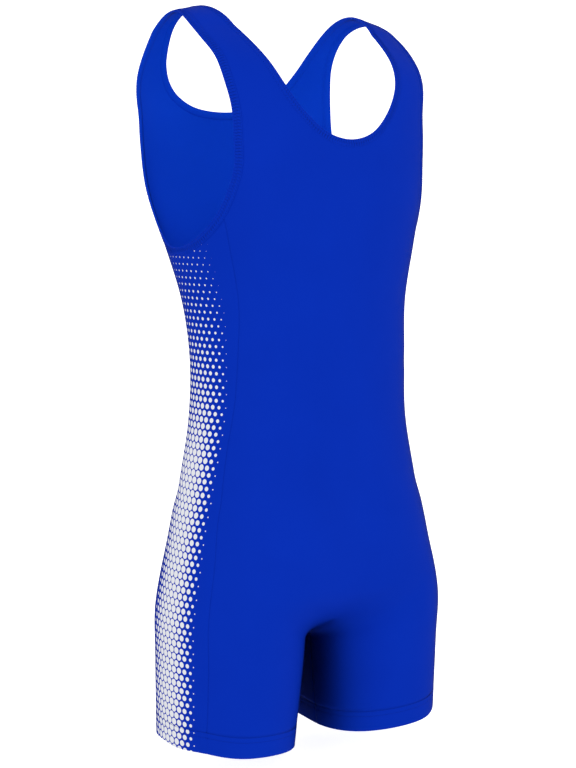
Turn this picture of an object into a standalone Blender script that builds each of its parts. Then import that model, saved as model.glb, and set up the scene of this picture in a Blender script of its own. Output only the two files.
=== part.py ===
"""Athletic singlet: a close-fitting one-piece knit suit, as worn on a general figure.

Units are metres, +Z is up. The origin lies midway between the two shoulder seams, where the
wearer's shoulders carry the suit. The front faces -Y and the wearer's left is +X.

The cloth follows one smooth body form, given by a field that is negative inside it. Edges and
seams are curves on that form, each panel is a ruled grid between two of them, and every piece
is a wall between its outer points and the same points moved inwards.
"""
import bpy
import numpy as np

# Cloth thickness, seam gaps and edge strips
PANEL_WALL = 0.0014
BAND_PROUD = 0.0004
BAND_BEVEL = 0.0020
SEAM_GAP = 0.0003
NECK_BAND = 0.0095
ARM_BAND = 0.0100
LEG_BAND = 0.0265

# Body form: height, half width, reach before and behind the shoulder line, squareness
TORSO_COLUMNS = ("z", "half_width", "front", "back", "square")
TORSO = np.array([
    (-0.020, 0.200, 0.100, 0.104, 3.40),
    (-0.060, 0.190, 0.130, 0.115, 2.95),
    (-0.108, 0.181, 0.146, 0.121, 2.50),
    (-0.150, 0.178, 0.153, 0.121, 2.40),
    (-0.200, 0.174, 0.154, 0.112, 2.35),
    (-0.270, 0.158, 0.148, 0.082, 2.30),
    (-0.340, 0.145, 0.141, 0.055, 2.20),
    (-0.410, 0.141, 0.142, 0.041, 2.20),
    (-0.480, 0.143, 0.143, 0.044, 2.20),
    (-0.550, 0.155, 0.151, 0.051, 2.20),
    (-0.620, 0.168, 0.160, 0.055, 2.20),
    (-0.700, 0.171, 0.154, 0.058, 2.20),
], dtype=[(name, float) for name in TORSO_COLUMNS])

# Each leg's form: height, centre, half width and depth, and fullness behind on the inside
LEG_COLUMNS = ("z", "x", "y", "half_width", "half_depth", "fullness")
LEG = np.array([
    (-0.560, 0.070, -0.048, 0.0820, 0.088, 0.00),
    (-0.620, 0.085, -0.050, 0.0825, 0.096, 0.00),
    (-0.660, 0.093, -0.051, 0.0845, 0.102, 0.10),
    (-0.700, 0.100, -0.051, 0.0850, 0.103, 0.50),
    (-0.760, 0.102, -0.050, 0.0850, 0.097, 0.90),
    (-0.865, 0.1065, -0.048, 0.0800, 0.090, 1.20),
], dtype=[(name, float) for name in LEG_COLUMNS])
# How fast the fullness sets in from the leg's middle
FULL_RATE = 1.5

# Shoulders: the section closes in an elliptical arch above this height
SHOULDER_Z = -0.108
SHOULDER_RISE = 0.119

# Seat: where the torso's underside rounds off, and how softly the legs run into it
SEAT_Z = -0.672
SEAT_ROUND = 0.045
SEAT_FLAT = 0.300
LEG_TOP_Z = -0.590
LEG_TOP_ROUND = 0.110
THIGH_BLEND = 0.030
CROTCH_BLEND = 0.045
CROTCH_X = 0.040
HIP_BLEND = 0.010
HIP_X = 0.160
CROTCH_Y = -0.050
PROFILE_Z = -0.600
# Heights between which the rows' turning line runs from the torso's middle to the leg's
WAIST_Z = -0.450
THIGH_Z = -0.720

# Leg hems, lower on the inside of the leg than on the outside
HEM_Z = -0.860
HEM_TILT = 0.095
HEM_CENTRE_X = 0.110
HEM_OUTER_X = 0.170
HEM_TRIM_STEPS = 4

# Neck edge on the wearer's left, from the front centre over the shoulder to the back centre
NECK_EDGE = (
    (0.000, -0.153, -0.150),
    (0.032, -0.152, -0.142),
    (0.058, -0.144, -0.120),
    (0.077, -0.132, -0.092),
    (0.089, -0.110, -0.062),
    (0.096, -0.080, -0.035),
    (0.101, -0.048, -0.011),
    (0.107, -0.005, 0.006),
    (0.109, 0.036, 0.000),
    (0.107, 0.058, -0.018),
    (0.102, 0.082, -0.038),
    (0.096, 0.095, -0.056),
    (0.084, 0.107, -0.076),
    (0.066, 0.114, -0.092),
    (0.038, 0.118, -0.104),
    (0.000, 0.118, -0.108),
)
# Left armhole edge, from the shoulder down the front, round under the arm and up the back
ARM_EDGE = (
    (0.142, -0.003, -0.003),
    (0.148, -0.040, -0.018),
    (0.149, -0.070, -0.036),
    (0.144, -0.092, -0.061),
    (0.140, -0.106, -0.090),
    (0.136, -0.113, -0.118),
    (0.136, -0.117, -0.151),
    (0.136, -0.116, -0.186),
    (0.143, -0.103, -0.224),
    (0.151, -0.083, -0.250),
    (0.156, -0.058, -0.266),
    (0.157, -0.031, -0.273),
    (0.157, -0.003, -0.270),
    (0.155, 0.022, -0.257),
    (0.153, 0.045, -0.236),
    (0.151, 0.062, -0.206),
    (0.149, 0.074, -0.172),
    (0.147, 0.082, -0.138),
    (0.145, 0.084, -0.108),
    (0.142, 0.081, -0.076),
    (0.139, 0.073, -0.050),
    (0.137, 0.056, -0.028),
    (0.138, 0.031, -0.009),
)
# Side panel seams: height, and place of the front and back seam as seen from the side
SIDE_COLUMNS = ("z", "front", "back")
SIDE_SEAMS = np.array([
    (-0.240, -0.103, 0.034),
    (-0.300, -0.103, 0.024),
    (-0.360, -0.102, 0.010),
    (-0.430, -0.100, 0.003),
    (-0.500, -0.095, 0.004),
    (-0.570, -0.099, 0.009),
    (-0.640, -0.107, 0.012),
    (-0.700, -0.111, 0.012),
    (-0.780, -0.109, 0.011),
    (-0.870, -0.103, 0.008),
], dtype=[(name, float) for name in SIDE_COLUMNS])

# Grid: rows in each stretch of a panel, and columns across it
STRAP_ROWS = 18
CHEST_ROWS = 4
BODY_ROWS = 17
LEG_ROWS = 5
LEG_ROW_GROWTH = 1.3
PANEL_COLUMNS = 9
SIDE_PANEL_COLUMNS = 8
CHEST_Z = -0.215
UNDERARM_Z = -0.262
BACK_CHEST_Z = -0.190
SIDE_TOP_FADE = 0.090

# Numbers for the solvers and the dense curves
SPLINE_STEPS = 16
FIELD_STEP = 0.0002
SETTLE_STEPS = 8
CAST_STEPS = 34
CAST_REACH = 0.30
DENSE = 160
DENSE_GROWTH = 1.5
SAME_PLACE = 1e-6

BLUE = (0.004, 0.024, 0.445, 1.0)
BAND_BLUE = (0.004, 0.021, 0.395, 1.0)
KNIT_ROUGHNESS = 0.55


def read(table, name, z):
    """Value of one column at heights z, by cubic curves through a table whose heights fall."""
    heights = table["z"][::-1]
    values = table[name][::-1]
    z = np.clip(z, heights[0], heights[-1])
    slopes = np.gradient(values, heights)
    k = np.clip(np.searchsorted(heights, z) - 1, 0, len(heights) - 2)
    span = heights[k + 1] - heights[k]
    t = (z - heights[k]) / span
    start = (2 * t**3 - 3 * t**2 + 1) * values[k] + (t**3 - 2 * t**2 + t) * span * slopes[k]
    end = (3 * t**2 - 2 * t**3) * values[k + 1] + (t**3 - t**2) * span * slopes[k + 1]
    return start + end


def eased(share):
    """Share from 0 to 1 with level ends."""
    share = np.clip(share, 0.0, 1.0)
    return share * share * (3.0 - 2.0 * share)


def blend(a, b, width):
    """Smooth union of two fields."""
    h = np.clip(0.5 + 0.5 * (b - a) / width, 0.0, 1.0)
    return b * (1.0 - h) + a * h - width * h * (1.0 - h)


def torso_field(x, y, z):
    """Distance-like field of the torso, closed over the shoulders and under the seat."""
    half_width, front, back, square = (read(TORSO, name, z) for name in TORSO_COLUMNS[1:])
    middle = 0.5 * (back - front)
    half_depth = 0.5 * (back + front)
    rise = np.maximum(0.0, z - SHOULDER_Z) / SHOULDER_RISE
    depth = np.sqrt(((y - middle) / half_depth) ** 2 + rise**2)
    size = ((x / half_width) ** square + depth**square) ** (1.0 / square)
    under = np.maximum(0.0, SEAT_Z - z) ** 2 / SEAT_ROUND
    apart = np.sqrt(size**2 + SEAT_FLAT**2) - np.sqrt(1.0 + SEAT_FLAT**2)
    return apart * 0.5 * (half_width + half_depth) + under


def leg_field(x, y, z):
    """Distance-like field of one leg: an ellipse, squarer behind on the inside by its fullness."""
    centre_x, centre_y, half_width, half_depth, fullness = (
        read(LEG, name, z) for name in LEG_COLUMNS[1:])
    across = (x - centre_x) / half_width
    ahead = (y - centre_y) / half_depth
    square = 2.0 + fullness * eased(-FULL_RATE * across) * eased(FULL_RATE * ahead)
    size = (np.abs(across) ** square + np.abs(ahead) ** square) ** (1.0 / square)
    return (size - 1.0) * 0.5 * (half_width + half_depth)


def field(points):
    """Body form: negative inside, zero on the surface that the cloth follows."""
    x, y, z = np.abs(points[..., 0]), points[..., 1], points[..., 2]
    legs = blend(leg_field(x, y, z), leg_field(-x, y, z), THIGH_BLEND)
    over = np.maximum(0.0, z - LEG_TOP_Z) ** 2 / LEG_TOP_ROUND
    share = eased((x - CROTCH_X) / (HIP_X - CROTCH_X))
    width = CROTCH_BLEND + (HIP_BLEND - CROTCH_BLEND) * share
    return blend(torso_field(x, y, z), legs + over, width)


def gradient(points):
    """Gradient of the field, by central differences."""
    steps = FIELD_STEP * np.eye(3)
    return np.stack([field(points + s) - field(points - s) for s in steps], -1) / (2 * FIELD_STEP)


def normals(points):
    """Unit outward normals of the form."""
    g = gradient(points)
    return g / np.linalg.norm(g, axis=-1, keepdims=True)


def settle(points, level=False):
    """Points moved along the gradient on to the form, at their own height where level is set."""
    points = np.array(points, dtype=float)
    for _ in range(SETTLE_STEPS):
        g = gradient(points)
        if level:
            g[..., 2] = 0.0
        points -= (field(points) / (g**2).sum(-1))[..., None] * g
    return points


def cast(start, direction, reach=CAST_REACH):
    """Where rays that start inside the form leave it within the reach, by halving."""
    near = np.zeros(start.shape[:-1])
    far = np.full(start.shape[:-1], reach)
    for _ in range(CAST_STEPS):
        middle = 0.5 * (near + far)
        inside = field(start + direction * middle[..., None]) < 0.0
        near = np.where(inside, middle, near)
        far = np.where(inside, far, middle)
    return start + direction * near[..., None]


def spline(points):
    """Closed smooth curve through the points, evenly stepped in each span."""
    p1 = np.asarray(points, dtype=float)
    p0, p2, p3 = (np.roll(p1, shift, axis=0) for shift in (1, -1, -2))
    t = (np.arange(SPLINE_STEPS) / SPLINE_STEPS)[None, :, None]
    p0, p1, p2, p3 = (p[:, None, :] for p in (p0, p1, p2, p3))
    curve = 0.5 * (2 * p1 + (p2 - p0) * t + (2 * p0 - 5 * p1 + 4 * p2 - p3) * t**2
                   + (3 * p1 - p0 - 3 * p2 + p3) * t**3)
    return curve.reshape(-1, 3)


def lengths(curve):
    """Run along a curve at each of its points."""
    steps = np.linalg.norm(np.diff(curve, axis=0), axis=1)
    return np.concatenate([[0.0], np.cumsum(steps)])


def along(curve, places):
    """Points of a curve at the given runs along it."""
    runs = lengths(curve)
    return np.stack([np.interp(places, runs, curve[:, k]) for k in range(3)], -1)


def inset(loop, distance):
    """Closed loop on the form moved sideways over the form, to the right of its travel."""
    travel = np.roll(loop, -1, axis=0) - np.roll(loop, 1, axis=0)
    side = np.cross(travel, normals(loop))
    side /= np.linalg.norm(side, axis=-1, keepdims=True)
    return settle(loop + side * distance)


class Edge:
    """An opening's edge, with the opening on the left of its travel and the cloth on the right."""

    def __init__(self, loop):
        """Keeps the closed loop on the form and the runs along it."""
        self.loop = loop
        self.closed = np.vstack([loop, loop[:1]])
        self.runs = lengths(self.closed)

    def at(self, places, distance):
        """Points at runs along the edge, moved the distance into the cloth."""
        moved = inset(self.loop, distance) if distance else self.loop
        moved = np.vstack([moved, moved[:1]])
        return settle(np.stack([np.interp(places, self.runs, moved[:, k]) for k in range(3)], -1))


def neck_edge():
    """Neck edge: the left half's points and their mirror image, as one loop on the form."""
    left = np.array(NECK_EDGE)
    right = left[-2:0:-1] * (-1.0, 1.0, 1.0)
    return Edge(settle(spline(np.vstack([left, right]))))


def arm_edge():
    """Left armhole edge as one loop on the form."""
    return Edge(settle(spline(ARM_EDGE)))


def seam(name, heights):
    """Side panel seam on the left: its places in side view, carried out to the form."""
    inside = np.stack([0.0 * heights, read(SIDE_SEAMS, name, heights), heights], -1)
    inside[:, 0] = np.where(heights < SEAT_Z, HEM_CENTRE_X, 0.0)
    return cast(inside, np.array([1.0, 0.0, 0.0]))


def centre_line(facing, top):
    """Line in the middle plane from the height top to the crotch, on the front or the back."""
    heights = np.linspace(top, PROFILE_Z, DENSE)
    start = np.stack([0.0 * heights, 0.0 * heights + CROTCH_Y, heights], -1)
    upper = cast(start, np.array([0.0, facing, 0.0]))
    turn = np.linspace(0.0, 0.5 * np.pi, DENSE)[1:]
    ways = np.stack([0.0 * turn, facing * np.cos(turn), -np.sin(turn)], -1)
    lower = cast(np.broadcast_to((0.0, CROTCH_Y, PROFILE_Z), ways.shape), ways)
    return np.vstack([upper, lower])


def hem_height(x):
    """Height of the hem at a place across the leg."""
    return HEM_Z + HEM_TILT * (np.abs(x) - HEM_CENTRE_X)


def inseam(crotch, bottom):
    """Inner leg line from the crotch down to the height bottom."""
    share = np.linspace(0.0, 1.0, DENSE)[1:] ** DENSE_GROWTH
    heights = crotch[2] + (bottom - crotch[2]) * share
    start = np.stack([0.0 * heights + HEM_CENTRE_X, 0.0 * heights + CROTCH_Y, heights], -1)
    return np.vstack([crotch, cast(start, np.array([-1.0, 0.0, 0.0]), HEM_CENTRE_X)])


def axis(z):
    """Line that a panel's rows turn about: the torso's middle, running out into the leg."""
    share = eased((WAIST_Z - z) / (WAIST_Z - THIGH_Z))
    middle = 0.5 * (read(TORSO, "back", z) - read(TORSO, "front", z))
    return share * read(LEG, "x", z), (1.0 - share) * middle + share * read(LEG, "y", z)


def ruled(inner, outer, columns, facing):
    """Grid of rows that run on the form from the inner points to the outer ones."""
    share = np.linspace(0.0, 1.0, columns + 1)
    turns = []
    reaches = []
    for ends in (inner, outer):
        x, y = axis(ends[:, 2])
        turns.append(np.arctan2(ends[:, 0] - x, facing * (ends[:, 1] - y)))
        reaches.append(np.hypot(ends[:, 0] - x, ends[:, 1] - y))
    turn = turns[0][:, None] + np.outer(turns[1] - turns[0], share)
    reach = reaches[0][:, None] + np.outer(reaches[1] - reaches[0], share)
    z = inner[:, 2][:, None] + np.outer(outer[:, 2] - inner[:, 2], share)
    x, y = axis(z)
    grid = settle(np.stack([x + reach * np.sin(turn), y + facing * reach * np.cos(turn), z], -1))
    grid[:, 0] = inner
    grid[:, -1] = outer
    return grid


def trim(row, height):
    """Row of points put at the hem's height above the hem line, on the form."""
    row = row.copy()
    for _ in range(HEM_TRIM_STEPS):
        row[:, 2] = hem_height(row[:, 0]) + height
        row = settle(row, level=True)
    return row


def quads(rows, columns):
    """Faces of a grid of rows and columns of points."""
    index = np.arange(rows * columns).reshape(rows, columns)
    corners = (index[:-1, :-1], index[:-1, 1:], index[1:, 1:], index[1:, :-1])
    return np.stack(corners, -1).reshape(-1, 4)


def mirrored(points, faces):
    """Points and faces with their mirror image across the middle plane."""
    image = points * (-1.0, 1.0, 1.0)
    return np.vstack([points, image]), np.vstack([faces, faces[:, ::-1] + len(points)])


def welded(points, faces):
    """Points and faces with the points that lie at the same place made one."""
    keys = np.round(points / SAME_PLACE).astype(np.int64)
    _, first, same = np.unique(keys, axis=0, return_index=True, return_inverse=True)
    return points[first], same.reshape(-1)[faces]


def outward(points, faces):
    """Faces turned so that they look away from the body form."""
    corners = points[faces]
    facing = np.cross(corners[:, 2] - corners[:, 0], corners[:, 3] - corners[:, 1])
    inside_out = (facing * normals(corners.mean(axis=1))).sum(-1) < 0.0
    return np.where(inside_out[:, None], faces[:, ::-1], faces)


def wall(points, faces, over, under):
    """Closed wall between the points moved out by over and in by under."""
    faces = outward(points, faces)
    away = normals(points)
    outer = points + away * over[:, None]
    inner = points - away * under[:, None]
    count = len(points)
    sides = np.stack([faces, np.roll(faces, -1, axis=1)], -1).reshape(-1, 2)
    used = {tuple(side) for side in sides}
    rim = [(b, a, a + count, b + count) for a, b in sides if (b, a) not in used]
    shell = faces.tolist() + (faces[:, ::-1] + count).tolist() + rim
    return np.vstack([outer, inner]), shell


def knit(name, colour):
    """Plain stretch knit."""
    material = bpy.data.materials.new(name)
    material.use_nodes = True
    shader = material.node_tree.nodes["Principled BSDF"]
    shader.inputs["Base Color"].default_value = colour
    shader.inputs["Roughness"].default_value = KNIT_ROUGHNESS
    shader.inputs["Metallic"].default_value = 0.0
    return material


def piece(name, points, faces, colour):
    """One named cloth piece with its own material."""
    mesh = bpy.data.meshes.new(name)
    mesh.from_pydata(points.tolist(), [], [tuple(int(i) for i in face) for face in faces])
    mesh.update()
    mesh.shade_smooth()
    mesh.materials.append(knit(name + "_knit", colour))
    item = bpy.data.objects.new(name, mesh)
    bpy.context.scene.collection.objects.link(item)
    return item


def panel(name, grid, both):
    """Panel wall from its grid, with its mirror image joined to it where both is set."""
    points = grid.reshape(-1, 3)
    faces = quads(*grid.shape[:2])
    if both:
        points, faces = welded(*mirrored(points, faces))
    none = np.zeros(len(points))
    return piece(name, *wall(points, faces, none, none + PANEL_WALL), BLUE)


def band(name, rows, proud, sign):
    """Edge strip from its rows of points, the first row at the opening, closed round it."""
    grid = np.stack(rows) * (sign, 1.0, 1.0)
    loop = np.concatenate([grid, grid[:, :1]], axis=1)
    faces = quads(*loop.shape[:2])
    points, faces = welded(loop.reshape(-1, 3), faces)
    keys = {tuple(key) for key in np.round(grid[0] / SAME_PLACE).astype(np.int64)}
    places = np.round(points / SAME_PLACE).astype(np.int64)
    at_edge = np.array([tuple(place) in keys for place in places])
    over = np.where(at_edge, 0.0, proud)
    under = np.where(at_edge, PANEL_WALL, PANEL_WALL + proud)
    return piece(name, *wall(points, faces, over, under), BAND_BLUE)


def armhole_places(arm):
    """Runs along the armhole edge: shoulder, chest level, both side seams and back level."""
    inner = arm.at(arm.runs, ARM_BAND + SEAM_GAP)
    front = slice(0, int(np.argmin(inner[:, 2])))
    back = slice(front.stop, len(inner))
    seam_y = read(SIDE_SEAMS, "front", inner[front, 2])
    low = inner[front, 2] < CHEST_Z
    front_seam = np.interp(0.0, (inner[front, 1] - seam_y)[low], arm.runs[front][low])
    seam_y = read(SIDE_SEAMS, "back", inner[back, 2])
    low = inner[back, 2] < CHEST_Z
    back_seam = np.interp(0.0, (inner[back, 1] - seam_y)[low], arm.runs[back][low])
    falling = inner[front, 2][::-1]
    chest = np.interp(CHEST_Z, falling, arm.runs[front][::-1])
    shoulder_blade = np.interp(BACK_CHEST_Z, inner[back, 2], arm.runs[back])
    return chest, front_seam, back_seam, shoulder_blade


def main_panel(neck, arm, facing, neck_runs, arm_runs, seam_name):
    """Half of the front or the back, as a grid of rows from the middle to the side."""
    half_gap = 0.5 * SEAM_GAP
    neck_side = neck.at(neck_runs, NECK_BAND + SEAM_GAP)
    neck_side[-1, 0] = 0.0
    line = centre_line(facing, neck_side[-1, 2])
    line[0] = neck_side[-1]
    down = lengths(line)
    chest_end = np.interp(-UNDERARM_Z, -line[:DENSE, 2], down[:DENSE])
    chest = along(line, np.linspace(0.0, chest_end, CHEST_ROWS + 1))[1:]
    body = along(line, np.linspace(chest_end, down[-1], BODY_ROWS + 1))[1:]
    bottom = hem_height(0.0) + LEG_BAND + SEAM_GAP
    leg_line = inseam(body[-1], bottom)
    leg_runs = lengths(leg_line)[-1] * np.linspace(0.0, 1.0, LEG_ROWS + 1) ** LEG_ROW_GROWTH
    leg = along(leg_line, leg_runs)[1:]
    middle = settle(np.vstack([chest, body, leg]))
    middle[:CHEST_ROWS + BODY_ROWS, 0] = 0.0
    shift = np.zeros((len(middle), 3))
    shift[CHEST_ROWS + BODY_ROWS - 1:, 1] = facing * half_gap
    middle = settle(middle + shift)
    inner = np.vstack([neck_side, middle])

    arm_side = arm.at(arm_runs, ARM_BAND + SEAM_GAP)
    crotch_z = body[-1, 2]
    body_z = np.linspace(arm_side[-1, 2], crotch_z, BODY_ROWS + 1)[1:]
    side_bottom = hem_height(HEM_OUTER_X) + LEG_BAND + SEAM_GAP
    leg_z = np.linspace(crotch_z, side_bottom, LEG_ROWS + 1)[1:]
    side = seam(seam_name, np.concatenate([body_z, leg_z]))
    side = settle(side + (0.0, facing * half_gap, 0.0), level=True)
    outer = np.vstack([arm_side, side])
    grid = ruled(inner, outer, PANEL_COLUMNS, facing)
    grid[-1] = trim(grid[-1], LEG_BAND + SEAM_GAP)
    return grid


def side_panel(arm, arm_runs, front_grid, back_grid):
    """Left side panel, between the front's and the back's seam rows."""
    start = STRAP_ROWS + CHEST_ROWS
    shift = np.array([0.0, SEAM_GAP, 0.0])
    front = settle(front_grid[start:, -1] + shift, level=True)
    back = settle(back_grid[start:, -1] - shift, level=True)
    top = arm.at(arm_runs, ARM_BAND + SEAM_GAP)
    front[0], back[0] = top[0], top[-1]
    grid = ruled(front, back, SIDE_PANEL_COLUMNS, -1.0)
    share = np.clip((grid[:, :1, 2] - grid[0, 0, 2]) / -SIDE_TOP_FADE, 0.0, 1.0)
    sag = (top - grid[0])[None] * (1.0 - share[..., None]) ** 2
    grid = settle(grid + sag)
    grid[0], grid[:, 0], grid[:, -1] = top, front, back
    grid[-1] = trim(grid[-1], LEG_BAND + SEAM_GAP)
    return grid


def main():
    """Works out the edges, the panels' grids and the edge strips, and makes the pieces."""
    for old in list(bpy.data.objects):
        bpy.data.objects.remove(old, do_unlink=True)

    neck = neck_edge()
    arm = arm_edge()
    ridge = neck.runs[np.argmax(neck.loop[:len(neck.loop) // 2, 2])]
    middle_back = neck.runs[(len(NECK_EDGE) - 1) * SPLINE_STEPS]
    chest, front_seam, back_seam, blade = armhole_places(arm)
    end = arm.runs[-1]
    half_gap = 0.5 * SEAM_GAP

    neck_front = np.linspace(ridge - half_gap, 0.0, STRAP_ROWS + 1)
    neck_back = np.linspace(ridge + half_gap, middle_back, STRAP_ROWS + 1)
    arm_front = np.concatenate([
        np.linspace(half_gap, chest, STRAP_ROWS + 1),
        np.linspace(chest, front_seam - half_gap, CHEST_ROWS + 1)[1:]])
    arm_back = np.concatenate([
        np.linspace(end - half_gap, blade, STRAP_ROWS + 1),
        np.linspace(blade, back_seam + half_gap, CHEST_ROWS + 1)[1:]])
    arm_under = np.linspace(front_seam + half_gap, back_seam - half_gap, SIDE_PANEL_COLUMNS + 1)

    front = main_panel(neck, arm, -1.0, neck_front, arm_front, "front")
    back = main_panel(neck, arm, 1.0, neck_back, arm_back, "back")
    side = side_panel(arm, arm_under, front, back)
    panel("front", front, both=True)
    panel("back", back, both=True)
    panel("side_panel_left", side, both=False)
    panel("side_panel_right", side * (-1.0, 1.0, 1.0), both=False)

    neck_left = np.concatenate([neck_front[::-1][:-1], [ridge], neck_back[1:]])
    neck_rows = [neck.at(neck_left, depth) for depth in (0.0, BAND_BEVEL, NECK_BAND)]
    neck_rows = [np.vstack([row, row[-2:0:-1] * (-1.0, 1.0, 1.0)]) for row in neck_rows]
    band("neck_band", neck_rows, BAND_PROUD, 1.0)

    arm_loop = np.concatenate([[0.0], arm_front[1:-1], arm_under, arm_back[::-1][1:-1]])
    arm_rows = [arm.at(arm_loop, depth) for depth in (0.0, BAND_BEVEL, ARM_BAND)]
    leg_loop = np.vstack([front[-1], side[-1, 1:-1], back[-1, ::-1][:-1]])
    leg_rows = [trim(leg_loop, height) for height in (0.0, BAND_BEVEL, LEG_BAND)]
    for side_name, sign in (("left", 1.0), ("right", -1.0)):
        band("armhole_band_" + side_name, arm_rows, BAND_PROUD, sign)
        band("leg_band_" + side_name, leg_rows, BAND_PROUD, sign)


if __name__ == "__main__":
    main()
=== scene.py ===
"""Athletic singlet: the looks of a close-fitting knit suit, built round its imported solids.

Units are metres, +Z is up, the front faces -Y and the wearer's left is +X. The cloth follows the
same smooth body form as the solids do: a field that is negative inside the form and zero on it.
Every piece is worked out on that form as a grid of points, moved in and out along its normals.
"""
from __future__ import annotations

import logging
import math
from dataclasses import dataclass, field
from enum import Enum

import bpy
import numpy as np
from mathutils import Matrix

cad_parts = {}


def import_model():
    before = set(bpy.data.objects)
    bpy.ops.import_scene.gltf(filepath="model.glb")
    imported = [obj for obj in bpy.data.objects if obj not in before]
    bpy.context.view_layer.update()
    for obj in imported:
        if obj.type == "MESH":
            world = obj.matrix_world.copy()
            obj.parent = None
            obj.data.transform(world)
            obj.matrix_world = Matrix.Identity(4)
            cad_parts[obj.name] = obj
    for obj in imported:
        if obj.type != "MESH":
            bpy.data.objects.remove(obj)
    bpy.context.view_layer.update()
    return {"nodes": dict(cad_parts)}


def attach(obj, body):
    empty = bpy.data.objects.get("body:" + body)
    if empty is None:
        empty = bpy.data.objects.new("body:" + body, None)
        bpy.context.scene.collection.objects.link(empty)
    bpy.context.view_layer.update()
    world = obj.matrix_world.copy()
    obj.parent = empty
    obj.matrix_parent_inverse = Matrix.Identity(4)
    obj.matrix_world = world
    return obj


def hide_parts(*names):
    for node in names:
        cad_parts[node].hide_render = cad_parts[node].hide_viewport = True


LOG = logging.getLogger("singlet")
BODY = "root"
MILLIMETRE = 0.001
CLOTH_MAP = "cloth"
MATH = "ShaderNodeMath"
# How fast a leg fills out behind, steps round a turned fold, and the row that faces are judged by
FULL_RATE = 1.5
FOLD_STEPS = 8
PROBE_ROW = 3

# Body form: height, half width, reach before and behind the shoulder line, squareness
TORSO = np.array([
    (-0.020, 0.200, 0.100, 0.104, 3.40),
    (-0.060, 0.190, 0.130, 0.115, 2.95),
    (-0.108, 0.181, 0.146, 0.121, 2.50),
    (-0.150, 0.178, 0.153, 0.121, 2.40),
    (-0.200, 0.174, 0.154, 0.112, 2.35),
    (-0.270, 0.158, 0.148, 0.082, 2.30),
    (-0.340, 0.145, 0.141, 0.055, 2.20),
    (-0.410, 0.141, 0.142, 0.041, 2.20),
    (-0.480, 0.143, 0.143, 0.044, 2.20),
    (-0.550, 0.155, 0.151, 0.051, 2.20),
    (-0.620, 0.168, 0.160, 0.055, 2.20),
    (-0.700, 0.171, 0.154, 0.058, 2.20),
], dtype=[(name, float) for name in ("z", "half_width", "front", "back", "square")])

# Each leg's form: height, centre, half width and depth, and fullness behind on the inside
LEG = np.array([
    (-0.560, 0.070, -0.048, 0.0820, 0.088, 0.00),
    (-0.620, 0.085, -0.050, 0.0825, 0.096, 0.00),
    (-0.660, 0.093, -0.051, 0.0845, 0.102, 0.10),
    (-0.700, 0.100, -0.051, 0.0850, 0.103, 0.50),
    (-0.760, 0.102, -0.050, 0.0850, 0.097, 0.90),
    (-0.865, 0.1065, -0.048, 0.0800, 0.090, 1.20),
], dtype=[(name, float) for name in ("z", "x", "y", "half_width", "half_depth", "fullness")])

# Neck edge on the wearer's left, from the front centre over the shoulder to the back centre
NECK_EDGE = (
    (0.000, -0.153, -0.150),
    (0.032, -0.152, -0.142),
    (0.058, -0.144, -0.120),
    (0.077, -0.132, -0.092),
    (0.089, -0.110, -0.062),
    (0.096, -0.080, -0.035),
    (0.101, -0.048, -0.011),
    (0.107, -0.005, 0.006),
    (0.109, 0.036, 0.000),
    (0.107, 0.058, -0.018),
    (0.102, 0.082, -0.038),
    (0.096, 0.095, -0.056),
    (0.084, 0.107, -0.076),
    (0.066, 0.114, -0.092),
    (0.038, 0.118, -0.104),
    (0.000, 0.118, -0.108),
)
# Left armhole edge, from the shoulder down the front, round under the arm and up the back
ARM_EDGE = (
    (0.142, -0.003, -0.003),
    (0.148, -0.040, -0.018),
    (0.149, -0.070, -0.036),
    (0.144, -0.092, -0.061),
    (0.140, -0.106, -0.090),
    (0.136, -0.113, -0.118),
    (0.136, -0.117, -0.151),
    (0.136, -0.116, -0.186),
    (0.143, -0.103, -0.224),
    (0.151, -0.083, -0.250),
    (0.156, -0.058, -0.266),
    (0.157, -0.031, -0.273),
    (0.157, -0.003, -0.270),
    (0.155, 0.022, -0.257),
    (0.153, 0.045, -0.236),
    (0.151, 0.062, -0.206),
    (0.149, 0.074, -0.172),
    (0.147, 0.082, -0.138),
    (0.145, 0.084, -0.108),
    (0.142, 0.081, -0.076),
    (0.139, 0.073, -0.050),
    (0.137, 0.056, -0.028),
    (0.138, 0.031, -0.009),
)
# Side panel seams: height, and place of the front and back seam as seen from the side
SIDE_SEAMS = np.array([
    (-0.240, -0.103, 0.034),
    (-0.300, -0.103, 0.024),
    (-0.360, -0.102, 0.010),
    (-0.430, -0.100, 0.003),
    (-0.500, -0.095, 0.004),
    (-0.570, -0.099, 0.009),
    (-0.640, -0.107, 0.012),
    (-0.700, -0.111, 0.012),
    (-0.780, -0.109, 0.011),
    (-0.870, -0.103, 0.008),
], dtype=[(name, float) for name in ("z", "front", "back")])

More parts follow.
